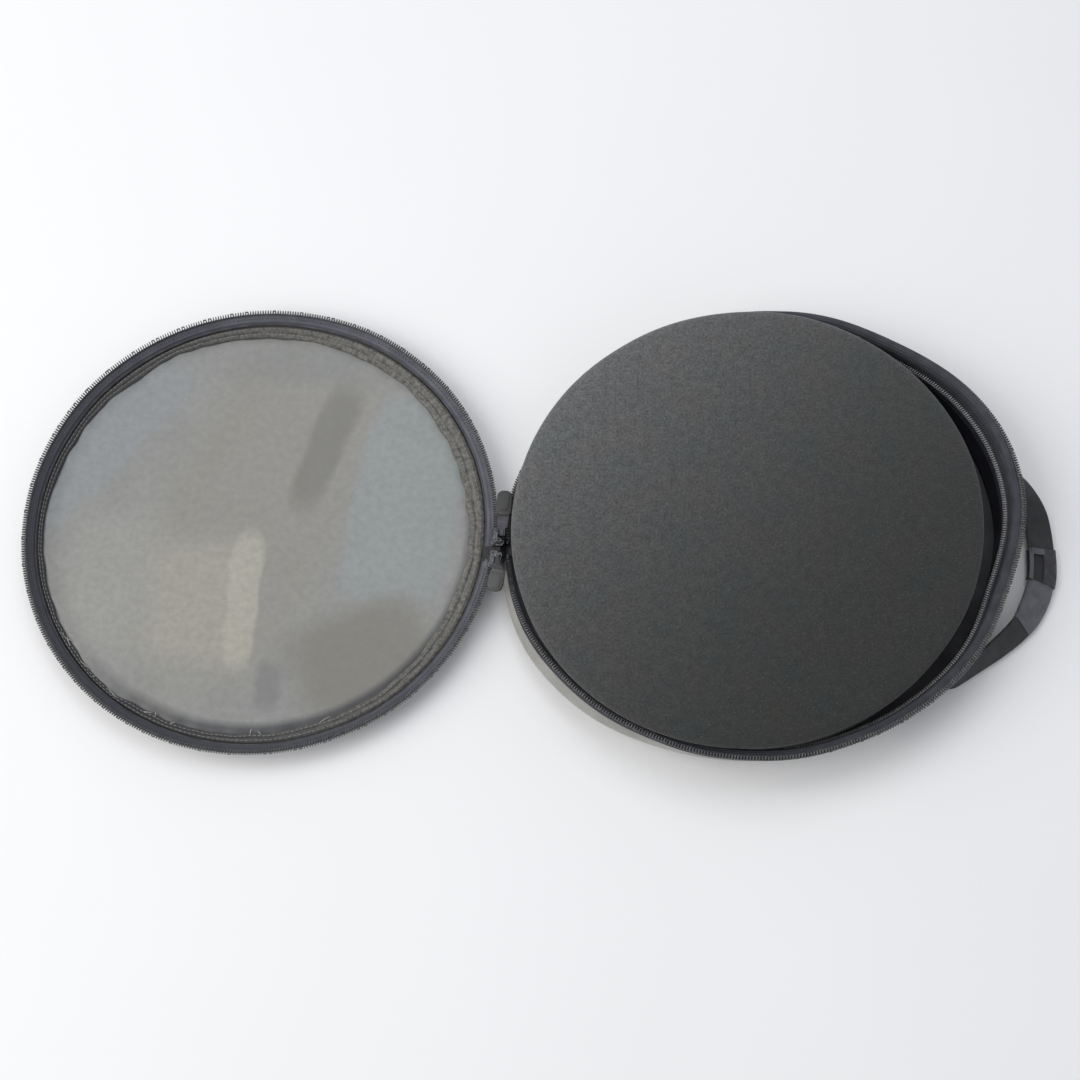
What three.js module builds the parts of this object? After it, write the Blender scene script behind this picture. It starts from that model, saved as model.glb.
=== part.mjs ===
// Round zip-up carrying case for a small handpan, lying open: a shallow base tray with a foam disc
// in it, and a flat lid beside it, joined by one short fabric hinge. All sizes are in millimetres.
// X runs from the lid to the tray's handle side, Y to the back, Z up. The origin is the middle of
// the tray on the face it stands on.
import * as THREE from "three";

// ---- overall sizes
const zipR = 162.5; // radius of the tooth coils, which sets the size of the case
const baseRimZ = 39.6; // height of the tray's coil above the table
const lidRimZ = 17.0; // height of the lid's coil above the table
const hingeGap = 8.0; // distance between the two coils where lid and tray meet
const gap = 0.3; // clearance between two layers that lie against each other
const seg = 52; // steps round a full circle

// ---- layers
const fabric = 1.0;
const lining = 0.6;
const board = 1.5;
const floorFoam = 4.6;
const wallFoam = 2.6;
const wallDraft = 0.25; // the wall leans out by this much per millimetre of height
const wallTopZ = 35.0;
const bindingT = 0.8;

// ---- zip, a number 8 coil
const coilR = 1.4;
const tapeT = 0.8;
const sliderLength = 10.0;
const stopDegrees = 0.8; // length of an end stop, measured round the rim

// ---- where the short hinge and the sliders sit: millimetres round the lid's coil from the side
// facing the tray, turned into degrees
const rimDegrees = (length) => ((length / zipR) * 180) / Math.PI;
const hingeFrom = rimDegrees(-21.555);
const hingeTo = rimDegrees(-13.614);
const sliderAt = { a: rimDegrees(-7.941), b: rimDegrees(-27.227) };

// ---- dip of the tray's rim beside the hinge, where the open lid pulls the soft wall down
const hingeRise = 5.6; // the tray's coil lies this far above the lid's where they meet
const hingeRimZ = lidRimZ + hingeRise;
const dipDepth = baseRimZ - hingeRimZ;
const dipAt = 180;
const dipWidth = 36;

// ---- foam disc
const padBottomZ = 12.0;
const padTopZ = 46.5;
const padGap = 2.2; // between the disc's side and the wall lining

// ---- carrying handle
const webbingWidth = 18.0;
const webbingT = 2.0;
const gripT = 1.6;

const lidX = -(2 * zipR + hingeGap);
const hingeX = lidX / 2;
const deg = Math.PI / 180;

const group = new THREE.Group();

function add(name, geometry, colour, roughness, metalness = 0) {
  const material = new THREE.MeshStandardMaterial({ color: colour, roughness, metalness });
  const mesh = new THREE.Mesh(geometry, material);
  mesh.name = name;
  group.add(mesh);
  return mesh;
}

// Closed solid through a row of like sections; each section is a list of points in space.
function loft(sections, loop, faces) {
  const n = sections[0].length;
  const triangles = [];
  const at = (i, j) => sections[i % sections.length][j % n];
  const last = loop ? sections.length : sections.length - 1;
  for (let i = 0; i < last; i++) {
    for (let j = 0; j < n; j++) {
      triangles.push([at(i, j), at(i + 1, j), at(i + 1, j + 1)]);
      triangles.push([at(i, j), at(i + 1, j + 1), at(i, j + 1)]);
    }
  }
  if (!loop) {
    const end = sections[sections.length - 1];
    for (const [a, b, c] of faces) {
      triangles.push([sections[0][a], sections[0][b], sections[0][c]]);
      triangles.push([end[c], end[b], end[a]]);
    }
  }
  return solid(triangles);
}

// Geometry from triangles, turned to face out.
function solid(triangles) {
  const keep = triangles.filter(([a, b, c]) => {
    const area = new THREE.Vector3().crossVectors(
      new THREE.Vector3().subVectors(b, a),
      new THREE.Vector3().subVectors(c, a)
    );
    return area.length() > 1e-7;
  });
  let volume = 0;
  for (const [a, b, c] of keep) volume += a.dot(new THREE.Vector3().crossVectors(b, c));
  const points = [];
  for (const [a, b, c] of keep) {
    const order = volume < 0 ? [a, c, b] : [a, b, c];
    for (const p of order) points.push(p.x, p.y, p.z);
  }
  const geometry = new THREE.BufferGeometry();
  geometry.setAttribute("position", new THREE.Float32BufferAttribute(points, 3));
  geometry.computeVertexNormals();
  return geometry;
}

// Triangles that fill one section, for the ends of a loft.
function capFaces(profile) {
  const outline = profile.map(([r, z]) => new THREE.Vector2(r, z));
  return THREE.ShapeUtils.triangulateShape(outline, []);
}

// Profile [radius, height] swept round the upright line through x = centreX, from angle a to b.
// lower(angle, z) says how far the soft rim sags there.
function ring(profile, { centreX = 0, from = 0, to = 360, lower = () => 0, step = 360 / seg } = {}) {
  const full = to - from >= 360;
  const count = Math.max(2, Math.round((to - from) / step));
  const sections = [];
  for (let i = 0; i < (full ? count : count + 1); i++) {
    const angle = from + ((to - from) * i) / count;
    const [c, s] = [Math.cos(angle * deg), Math.sin(angle * deg)];
    sections.push(profile.map(([r, z]) => new THREE.Vector3(centreX + r * c, r * s, z - lower(angle, z))));
  }
  return loft(sections, full, full ? [] : capFaces(profile));
}

// Solid of revolution whose profile starts and ends on the axis.
function disc(profile, centreX = 0) {
  const geometry = new THREE.LatheGeometry(profile.map(([r, z]) => new THREE.Vector2(r, z)), seg);
  geometry.rotateX(Math.PI / 2);
  geometry.translate(centreX, 0, 0);
  return geometry;
}

function plate(radius, low, high, centreX = 0) {
  return disc([[0, low], [radius, low], [radius, high], [0, high]], centreX);
}

function circleProfile(r, z, radius, sides = 6) {
  const out = [];
  for (let i = 0; i < sides; i++) {
    const t = (2 * Math.PI * i) / sides;
    out.push([r + radius * Math.cos(t), z + radius * Math.sin(t)]);
  }
  return out;
}

// Closed prism standing on the plane z = 0 after bending: outline in X and Y, thickness in Z.
function slab(outline, low, high) {
  const shape = new THREE.Shape(outline.map(([x, y]) => new THREE.Vector2(x, y)));
  const geometry = new THREE.ExtrudeGeometry(shape, { depth: high - low, bevelEnabled: false });
  geometry.translate(0, 0, low);
  return geometry;
}

// How far the tray's rim sags at an angle round the tray; the wall's foot doesn't move.
function sag(angle, z) {
  const off = ((angle - dipAt + 540) % 360) - 180;
  const share = Math.min(1, Math.max(0, (z - 4) / (wallTopZ - 4)));
  return dipDepth * share * Math.exp(-((off / dipWidth) ** 2));
}

// Outside radius of the tray's wall at a height.
const wallOuter = (z) => zipR - 0.5 - wallDraft * (wallTopZ - z);

// One layer of the wall, from `out` to `out + thick` inside the outer face. Every layer bends at
// the same heights, so that neighbours keep their clearance where the rim sags.
function wallLayer(out, thick, low, high) {
  const bends = [10, 15.5, 20.7, 29.3].filter((z) => z > low + 0.2 && z < high - 0.2);
  const levels = [low, ...bends, high];
  const outside = levels.map((z) => [wallOuter(z) - out, z]);
  const inside = levels.map((z) => [wallOuter(z) - out - thick, z]).reverse();
  return ring([...outside, ...inside], { lower: sag });
}

// ------------------------------------------------------------------ tray: floor
const floorTop = buildFloor();

function buildFloor() {
  const r = wallOuter(0) - 3.2;
  add("base_floor_panel", plate(r, 0, fabric), 0x3c4046, 0.85);
  let z = fabric + gap;
  const inner = wallOuter(4) - fabric - wallFoam - 2 * gap - lining - 0.6;
  add("base_floor_board", plate(inner - 1.5, z, z + board), 0xdad9d2, 0.5);
  z += board + gap;
  add("base_floor_foam", plate(inner - 1.5, z, z + floorFoam), 0x8c8c88, 0.95);
  z += floorFoam + gap;
  add("base_floor_lining", plate(inner, z, z + lining), 0xa7a49a, 0.45);
  const cord = ring(circleProfile(r + 2.3, 2.1, 1.9), {});
  add("base_bottom_piping", cord, 0x2f3338, 0.7);
  return z + lining;
}

// ------------------------------------------------------------------ tray: wall in three layers
const foamOut = fabric + gap;
const liningOut = foamOut + wallFoam + gap;
const wallThick = liningOut + lining;
// The inner zip that lets the tray out is let into the lining, so the lining is in two bands.
const expanderZ = 25.0;
const expanderBand = 8.0;
const liningLowTop = expanderZ - expanderBand / 2 - gap;
const liningHighFoot = expanderZ + expanderBand / 2 + gap;
add("base_wall_shell", wallLayer(0, fabric, 4.4, wallTopZ), 0xa9a79d, 0.6);
add("base_wall_foam", wallLayer(foamOut, wallFoam, floorTop + 0.4, wallTopZ), 0x7b7b78, 0.95);
add("base_lining_lower", wallLayer(liningOut, lining, floorTop + 0.4, liningLowTop), 0x6f6e69, 0.5);
add("base_lining_upper", wallLayer(liningOut, lining, liningHighFoot, wallTopZ), 0x6f6e69, 0.5);

buildExpander();

function buildExpander() {
  const low = expanderZ - expanderBand / 2;
  const high = expanderZ + expanderBand / 2;
  const coilHalf = 1.5;
  const band = (a, b) => wallLayer(liningOut, lining, a, b);
  add("expander_tape_lower", band(low, expanderZ - coilHalf - gap), 0x566069, 0.8);
  add("expander_tape_upper", band(expanderZ + coilHalf + gap, high), 0x566069, 0.8);
  const coil = wallLayer(liningOut, lining + 0.7, expanderZ - coilHalf, expanderZ + coilHalf);
  add("expander_coil", coil, 0x2b2f35, 0.45);
}

buildRim();

function buildRim() {
  const foot = wallTopZ - 4.5;
  const top = wallTopZ + gap;
  const outer = (z) => wallOuter(z) + gap;
  const inner = (z) => wallOuter(z) - wallThick - gap;
  const binding = ring(
    [
      [outer(foot), foot],
      [outer(foot) + bindingT, foot],
      [outer(top) + bindingT - 0.4, top + 0.5],
      [outer(top), top + bindingT],
      [inner(top), top + bindingT],
      [inner(foot) - bindingT, top],
      [inner(foot) - bindingT, foot],
      [inner(foot), foot],
      [inner(top), top],
      [outer(top), top],
    ],
    { lower: sag }
  );
  add("base_rim_binding", binding, 0x9a958a, 0.85);
  const [a, b] = baseZipSpan();
  const tapeFoot = wallTopZ + bindingT + 2 * gap;
  const tape = [
    [zipR - 3.6, tapeFoot],
    [zipR - 1.0, baseRimZ - coilR - gap - tapeT],
    [zipR + 0.2, baseRimZ - coilR - gap - tapeT],
    [zipR + 0.2, baseRimZ - coilR - gap],
    [zipR - 1.2, baseRimZ - coilR - gap],
    [zipR - 4.6, tapeFoot + tapeT],
    [zipR - 4.6, tapeFoot],
  ];
  add("base_zip_tape", ring(tape, { from: a, to: b, lower: sag }), 0x6b757e, 0.8);
  const coil = circleProfile(zipR, baseRimZ, coilR, 6);
  add("base_zip_coil", ring(coil, { from: a + 1, to: b - 1, lower: sag }), 0x343a42, 0.45);
  const stop = circleProfile(zipR, baseRimZ, coilR + 0.3, 6);
  add("base_zip_stop_a", ring(stop, { from: a, to: a + stopDegrees, lower: sag }), 0x9a9b9c, 0.35, 0.8);
  add("base_zip_stop_b", ring(stop, { from: b - stopDegrees, to: b, lower: sag }), 0x9a9b9c, 0.35, 0.8);
}

// The tray's half of the zip runs round from one side of the hinge to the other.
function baseZipSpan() {
  return [180 - hingeFrom, 540 - hingeTo];
}

// ------------------------------------------------------------------ lid
buildLid();

function buildLid() {
  const at = { centreX: lidX };
  const r = zipR - 13.5;
  add("lid_panel", plate(r, 0, fabric, lidX), 0x9c9a91, 0.7);
  add("lid_edge_piping", ring(circleProfile(r + 2.3, 2.1, 1.9), at), 0x2f3338, 0.7);
  const edge = [
    [r + 2.5, 4.4],
    [zipR - 5.0, 6.0],
    [zipR - 4.0, lidRimZ - 7.4],
    [zipR - 5.0, lidRimZ - 7.1],
    [zipR - 5.9, 6.9],
    [r + 2.5, 5.4],
  ];
  add("lid_edge_band", ring(edge, at), 0xa9a79d, 0.6);
  add("lid_board", plate(r - 2, fabric + gap, fabric + gap + board, lidX), 0xdad9d2, 0.5);
  const foamLow = fabric + board + 2 * gap;
  add("lid_foam", plate(r - 2, foamLow, foamLow + 3.4, lidX), 0x8c8c88, 0.95);
  buildLidLining(foamLow + 3.4 + gap);
  buildLidRim(at);
}

// The lining lies a little loose, so it rises to a low dome in the middle.
function buildLidLining(z) {
  const r = zipR - 14.5;
  const top = [[r, z + 0.9], [r * 0.7, z + 1.3], [r * 0.35, z + 1.9], [0, z + 2.1]];
  const low = [[0, z], [r, z]];
  add("lid_lining", disc([...low, ...top], lidX), 0xa6a399, 0.35);
}

function buildLidRim(at) {
  const binding = [
    [zipR - 14.1, 7.2],
    [zipR - 10.2, 7.2],
    [zipR - 9.9, lidRimZ - 7.4],
    [zipR - 12.4, lidRimZ - 6.8],
    [zipR - 14.1, lidRimZ - 8.0],
  ];
  add("lid_binding", ring(binding, at), 0xa39c8c, 0.9);
  add("lid_rim_fold", ring(circleProfile(zipR - 8.0, lidRimZ - 6.1, 1.7), at), 0x5b646d, 0.8);
  const arc = { centreX: lidX, from: hingeTo, to: 360 + hingeFrom };
  const tapeTop = lidRimZ - coilR - 0.4;
  const tape = [
    [zipR - 6.4, tapeTop - 2.0],
    [zipR - 1.4, tapeTop - 0.6],
    [zipR, tapeTop - 0.6],
    [zipR, tapeTop],
    [zipR - 1.7, tapeTop + 0.2],
    [zipR - 6.4, tapeTop - 1.2],
  ];
  add("lid_zip_tape", ring(tape, arc), 0x6b757e, 0.8);
  const coil = circleProfile(zipR, lidRimZ, coilR, 6);
  const chain = { centreX: lidX, from: arc.from + 1, to: arc.to - 1 };
  add("lid_zip_coil", ring(coil, chain), 0x343a42, 0.45);
  const stop = circleProfile(zipR, lidRimZ, coilR, 6);
  const near = { centreX: lidX, from: arc.from, to: arc.from + stopDegrees };
  const far = { centreX: lidX, from: arc.to - stopDegrees, to: arc.to };
  add("lid_zip_stop_a", ring(stop, near), 0x9a9b9c, 0.35, 0.8);
  add("lid_zip_stop_b", ring(stop, far), 0x9a9b9c, 0.35, 0.8);
}

// ------------------------------------------------------------------ hinge: one fabric tab, half on each
buildHinge();

function buildHinge() {
  const y0 = zipR * Math.sin(hingeFrom * deg) + gap;
  const y1 = zipR * Math.sin(hingeTo * deg) - gap;
  const tab = (x, t, low, high) =>
    slab([[x, y0], [x + t, y0], [x + t, y1], [x, y1]], low, high);
  add("hinge_tab_lid", tab(hingeX - 1.5, 1.2, lidRimZ - 3.4, lidRimZ + 7.0), 0x8d8f90, 0.85);
  add("hinge_tab_base", tab(hingeX + 0.3, 1.2, hingeRimZ - 7.6, hingeRimZ + 3.0), 0x8d8f90, 0.85);
}

// ------------------------------------------------------------------ sliders and their pulls
const legTop = lidRimZ + 9.4; // top of the slider's outer leg
const pinZ = legTop + 3.8; // height of the pin that the pull turns on
const pinRadius = 1.0;
const bailR = zipR + 4.9;
const bailHalf = 2.6;

// A slider is made at the side of the lid facing the tray, then turned round the lid to its place.
function turned(geometry, angle) {
  geometry.translate(-lidX, 0, 0);
  geometry.rotateZ(angle * deg);
  geometry.translate(lidX, 0, 0);
  return geometry;
}

function alongRim(profile, half, centre = 0) {
  const faces = capFaces(profile);
  const sections = [-half, half].map((y) =>
    profile.map(([r, z]) => new THREE.Vector3(lidX + r, centre + y, z))
  );
  return loft(sections, false, faces);
}

// Prism with its section in the plane of travel and height, and its thickness across the rim.
function across(shape, centreR, half) {
  const geometry = new THREE.ExtrudeGeometry(shape, { depth: 2 * half, bevelEnabled: false });
  geometry.translate(0, 0, -half);
  geometry.rotateX(Math.PI / 2);
  geometry.rotateZ(Math.PI / 2);
  geometry.translate(lidX + centreR, 0, 0);
  return geometry;
}

function polygonShape(points) {
  return new THREE.Shape(points.map(([x, y]) => new THREE.Vector2(x, y)));
}

function buildSlider(side) {
  const at = sliderAt[side];
  const lead = side === "a" ? 1 : -1;
  const legIn = zipR + coilR + 2 * gap;
  const body = [
    [zipR - 3.4, lidRimZ - 6.2],
    [zipR + 5.8, lidRimZ - 6.2],
    [zipR + 5.8, legTop],
    [legIn, legTop],
    [legIn, lidRimZ - 3.2],
    [zipR - 3.4, lidRimZ - 4.8],
  ];
  add(`slider_${side}`, turned(alongRim(body, sliderLength / 2), at), 0x1d1e20, 0.25, 0.6);
  const [w, t] = [bailHalf, 0.9];
  const cheeks = [
    [bailR - w, legTop + gap],
    [bailR + w, legTop + gap],
    [bailR + w, pinZ + 2.0],
    [bailR + w - t, pinZ + 2.0],
    [bailR + w - t, legTop + gap + 1.0],
    [bailR - w + t, legTop + gap + 1.0],
    [bailR - w + t, pinZ + 2.0],
    [bailR - w, pinZ + 2.0],
  ];
  add(`slider_${side}_bail`, turned(alongRim(cheeks, 2.2), at), 0x3a3b3d, 0.3, 0.8);
  const pin = across(polygonShape(circleProfile(0, pinZ, pinRadius)), bailR, w - t - gap);
  add(`slider_${side}_pin`, turned(pin, at), 0x8a8b8c, 0.3, 0.9);
  add(`pull_${side}_link`, turned(pullLink(lead), at), 0x2b2c2e, 0.35, 0.7);
  add(`pull_${side}_tab`, turned(pullTab(lead), at), 0x8b8d8e, 0.55);
}

// Arm that turns on the slider's pin: an eye round the pin and a flat shank out to the tab.
function pullLink(lead) {
  const eye = 2.1;
  const shank = 0.6;
  const outline = [];
  for (let i = 1; i < 12; i++) {
    const t = (i / 12) * 2 * Math.PI;
    if (Math.abs(Math.sin(t)) * eye > shank || Math.cos(t) < 0) {
      outline.push([lead * eye * Math.cos(t), pinZ + eye * Math.sin(t)]);
    }
  }
  outline.push([lead * 8.2, pinZ - shank], [lead * 8.2, pinZ + shank]);
  const shape = polygonShape(outline);
  shape.holes.push(new THREE.Path(
    circleProfile(0, pinZ, pinRadius + gap).map(([x, y]) => new THREE.Vector2(x, y))
  ));
  return across(shape, bailR, bailHalf - 0.9 - gap);
}

// Rubber tab moulded on the link's end; it lies flat over the gap between lid and tray.
function pullTab(lead) {
  const x = lidX + bailR;
  const y = 18.0;
  const [w, l, c] = [4.2, 9.5, 2.0];
  const outline = [
    [x - w, y - l + c],
    [x - w + c, y - l],
    [x + w - c, y - l],
    [x + w, y - l + c],
    [x + w, y + l - c],
    [x + w - c, y + l],
    [x - w + c, y + l],
    [x - w, y + l - c],
  ];
  return slab(outline.map(([a, b]) => [a, lead * b]), pinZ - 1.3, pinZ + 1.3);
}

buildSlider("a");
buildSlider("b");

// ------------------------------------------------------------------ foam disc
buildPad();

// Radius of the disc's side at a height: it follows the tray's leaning wall.
function padSide(z) {
  return wallOuter(z) - wallThick - padGap;
}

function buildPad() {
  const skin = 1.2;
  const low = padBottomZ;
  const rBottom = padSide(low);
  const shoulder = wallTopZ - 6;
  const shoulderTop = padTopZ - 5.3;
  const lip = padSide(shoulder);
  add("pad_bottom_cover", plate(rBottom - 0.4, low, low + skin), 0x3f4143, 0.95);
  const bandLow = low + skin + gap;
  const band = [
    [padSide(bandLow), bandLow],
    [lip, shoulder],
    [lip + 0.3, wallTopZ],
    [zipR - 5.4, wallTopZ + 3.4],
    [zipR - 5.2, shoulderTop],
    [zipR - 6.9, shoulderTop],
    [zipR - 7.1, wallTopZ + 3.4],
    [lip - skin, wallTopZ],
    [lip - skin, shoulder],
    [padSide(bandLow) - skin, bandLow],
  ];
  add("pad_side_band", ring(band), 0x46484a, 0.95);
  const core = [
    [0, bandLow],
    [padSide(bandLow) - skin - gap, bandLow],
    [lip - skin - gap, shoulder],
    [lip - skin - gap, wallTopZ + 3.4],
    [zipR - 8.6, shoulderTop],
    [zipR - 12, padTopZ - 2.9],
    [zipR * 0.85, padTopZ - skin - gap],
    [0, padTopZ - skin - gap + 1.0],
  ];
  add("pad_core", disc(core), 0xb9b8b2, 0.95);
  const cover = [
    [0, padTopZ - skin + 1.0],
    [zipR * 0.85, padTopZ - skin],
    [zipR - 11.6, padTopZ - 2.4],
    [zipR - 8.0, padTopZ - 4.9],
    [zipR - 5.2, padTopZ - 4.9],
    [zipR - 6.2, padTopZ - 2.9],
    [zipR - 9.6, padTopZ - 1.1],
    [zipR * 0.85, padTopZ],
    [0, padTopZ + 1.0],
  ];
  add("pad_top_cover", disc(cover), 0x46484a, 0.98);
}

// ------------------------------------------------------------------ carrying handle
buildHandle();

// Strip with a given cross-section lofted along a path that lies nearly flat.
function strip(curve, profile, from, to, count) {
  const faces = capFaces(profile);
  const sections = [];
  for (let i = 0; i <= count; i++) {
    const t = from + ((to - from) * i) / count;
    const p = curve.getPointAt(t);
    const along = curve.getTangentAt(t);
    const across = new THREE.Vector3(along.y, -along.x, 0).normalize();
    const up = new THREE.Vector3().crossVectors(across, along).normalize();
    if (up.z < 0) up.negate();
    sections.push(
      profile.map(([a, b]) => p.clone().addScaledVector(across, a).addScaledVector(up, b))
    );
  }
  return loft(sections, false, faces);
}

// Points of the handle: degrees round the tray, how far out from the tray's coil, and height.
function handlePath() {
  const points = [
    [-41.478, -0.195, 15],
    [-41.294, 12.521, 14],
    [-37.983, 22.735, 12.5],
    [-31.845, 27.028, 11],
    [-24.857, 32.572, 8],
    [-17.896, 39.262, 6],
    [-11.746, 43.820, 5],
    [-5.519, 45.464, 5],
    [0.000, 44.500, 5.5],
    [5.654, 40.488, 7],
    [10.963, 32.051, 10],
    [14.808, 17.478, 13],
    [15.989, -0.222, 15],
  ];
  return new THREE.CatmullRomCurve3(points.map(([angle, out, z]) => new THREE.Vector3(
    (zipR + out) * Math.cos(angle * deg),
    (zipR + out) * Math.sin(angle * deg),
    z
  )));
}

// Share of the path's length at which it passes y on its outer side.
function shareAt(path, y) {
  let share = 0.3;
  while (share < 1 && path.getPointAt(share).y < y) share += 0.002;
  return share;
}

function buildHandle() {
  const path = handlePath();
  const [w, t] = [webbingWidth / 2, webbingT / 2];
  const flat = [[-w, -t], [w, -t], [w, t], [-w, t]];
  add("handle_webbing", strip(path, flat, 0, 1, 36), 0x2c3035, 0.85);
  // The wrap is a flap folded round the webbing, open along the edge that faces the tray.
  const [ow, ot, in1] = [w + gap + gripT, t + gap + gripT, t + gap];
  const wrap = [
    [-w + 3, -ot],
    [ow - 1, -ot],
    [ow, -ot + 1],
    [ow, ot - 1],
    [ow - 1, ot],
    [-w + 3, ot],
    [-w + 3, in1],
    [w + gap, in1],
    [w + gap, -in1],
    [-w + 3, -in1],
  ];
  const mirrored = wrap.map(([a, b]) => [-a, b]).reverse();
  const span = (from, to) => [shareAt(path, from), shareAt(path, to)];
  const [s0, s1] = span(-56, -26);
  const [h0, h1] = span(-25.5, -3);
  add("handle_wrap_sleeve", strip(path, mirrored, s0, s1, 10), 0x55585b, 0.5);
  add("handle_wrap_hook", strip(path, mirrored, h0, h1, 6), 0x33363a, 0.9);
  anchor("handle_anchor_upper", 16);
  anchor("handle_anchor_lower", -41.5);
}

// Stitched patch on the wall that the webbing's end is sewn under.
function anchor(name, angle) {
  const [low, high, half] = [8.0, 24.0, 4.6];
  const patch = ring(
    [
      [wallOuter(low) + gap, low],
      [wallOuter(low) + gap + 2.2, low],
      [wallOuter(high) + gap + 2.2, high],
      [wallOuter(high) + gap, high],
    ],
    { from: angle - half, to: angle + half, step: 2.3 }
  );
  add(name, patch, 0x2c3035, 0.85);
}

export default group;
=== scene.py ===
# Round zip-up carrying case for a small handpan, lying open: a shallow tray with a felt-covered
# foam disc in it, and a flat lid beside it, joined by one short fabric hinge.
# Sizes are in millimetres unless a name says otherwise; sew() turns them into metres.
import math
import bmesh
import bpy
import numpy as np
from mathutils import Matrix, Vector, noise


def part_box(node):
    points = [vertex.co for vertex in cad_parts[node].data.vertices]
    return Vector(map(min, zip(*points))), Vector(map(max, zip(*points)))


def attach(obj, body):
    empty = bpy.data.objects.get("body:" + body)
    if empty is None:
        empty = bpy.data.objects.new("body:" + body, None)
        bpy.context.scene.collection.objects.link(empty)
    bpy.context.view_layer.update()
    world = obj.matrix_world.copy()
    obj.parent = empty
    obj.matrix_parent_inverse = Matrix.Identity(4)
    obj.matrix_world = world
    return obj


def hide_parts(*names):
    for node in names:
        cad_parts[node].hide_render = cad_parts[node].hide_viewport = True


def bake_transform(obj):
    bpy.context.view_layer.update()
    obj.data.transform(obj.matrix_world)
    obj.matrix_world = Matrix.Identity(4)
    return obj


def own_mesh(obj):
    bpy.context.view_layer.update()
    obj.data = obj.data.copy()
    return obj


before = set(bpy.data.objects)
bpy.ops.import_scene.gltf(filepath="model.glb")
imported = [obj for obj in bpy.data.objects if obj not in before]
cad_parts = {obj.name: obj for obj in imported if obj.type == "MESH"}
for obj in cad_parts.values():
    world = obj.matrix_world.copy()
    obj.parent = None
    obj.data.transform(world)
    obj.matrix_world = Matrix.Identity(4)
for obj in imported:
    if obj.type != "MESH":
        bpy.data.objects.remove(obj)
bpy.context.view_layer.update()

# ------------------------------------------------------------------ tray floor
# A round panel of coated cloth under a stiff board and a thin foam sheet, with a nylon lining on
# top. A cloth-covered cord is sewn round the panel's edge, where the wall starts.
MM = 0.001
coil_half = 1.4


def span(node, axis):
    """Lowest and highest place of a CAD node along one axis, in millimetres."""
    low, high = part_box(node)
    return low[axis] / MM, high[axis] / MM


zip_r = span("base_zip_coil", 0)[1] - coil_half
tray_coil_z = span("base_zip_coil", 2)[1] - coil_half
wall_foot_z, wall_top_z = 4.4, span("base_wall_foam", 2)[1]
lid_x = sum(span("lid_panel", 0)) / 2

# The open tray is soft: it is let out towards its handle side.
let_out_turn = math.radians(18)
let_out_way = (math.cos(let_out_turn), math.sin(let_out_turn))
let_out_share = 0.092
let_out_from = -155.0
# The rim is also pushed out or in here and there: degrees round the tray, width each way, how far.
rim_pushes = [(92, 34, 34, -4.0), (142, 24, 22, -8.0), (-46, 34, 42, -2.4), (-136, 34, 34, 1.4),
              (-92, 22, 22, 1.6), (22, 16, 16, 2.6), (60, 14, 14, -2.4), (-19, 15, 15, -4.6)]
belly = (-146, 42, 44, 11.0)
inner_lean = (-14, 15, 13, 2.2)
rim_dip, dip_at, dip_before, dip_after = 17.0, 180, 58, 36
# A map laid from above leans this much with height, along X and Y, so that it runs down the sides.
map_lean = (0.8, 0.6)
crease_angle = math.radians(52)


def hump(angle, centre, before, after):
    """From 0 to 1, how near an angle is to the middle of a smooth rise; all in degrees."""
    off = (angle - centre + 180) % 360 - 180
    return math.exp(-((off / (before if off < 0 else after)) ** 2))


def let_out(x, y):
    """Where a point of the round tray lies while the tray is open and slack."""
    reach = x * let_out_way[0] + y * let_out_way[1] - let_out_from
    return x + let_out_way[0] * let_out_share * reach, y + let_out_way[1] * let_out_share * reach


def tray_point(angle, radius, height, inner=False):
    """A point of the tray's soft wall or floor, from its place in the round CAD tray."""
    turn = math.radians(angle)
    share = min(1.0, max(0.0, (height - wall_foot_z) / (wall_top_z - wall_foot_z)))
    swell = math.sin(math.pi * share)
    radius += share * sum(push[3] * hump(angle, *push[:3]) for push in rim_pushes)
    radius += belly[3] * hump(angle, *belly[:3]) * swell
    if inner:
        radius -= inner_lean[3] * hump(angle, *inner_lean[:3]) * swell
    ripple = noise.noise(Vector((3.1 * math.cos(turn), 3.1 * math.sin(turn), height * 0.03)))
    radius += 1.1 * ripple * max(share, 0.0)
    height -= share * rim_dip * hump(angle, dip_at, dip_before, dip_after)
    height += 0.7 * share * noise.noise(Vector((4.0 * math.cos(turn), 4.0 * math.sin(turn), 7.0)))
    x, y = let_out(radius * math.cos(turn), radius * math.sin(turn))
    return x, y, height


def lay_out(name, data):
    """A new object in the scene."""
    made = bpy.data.objects.new(name, data)
    bpy.context.scene.collection.objects.link(made)
    return made


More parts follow.
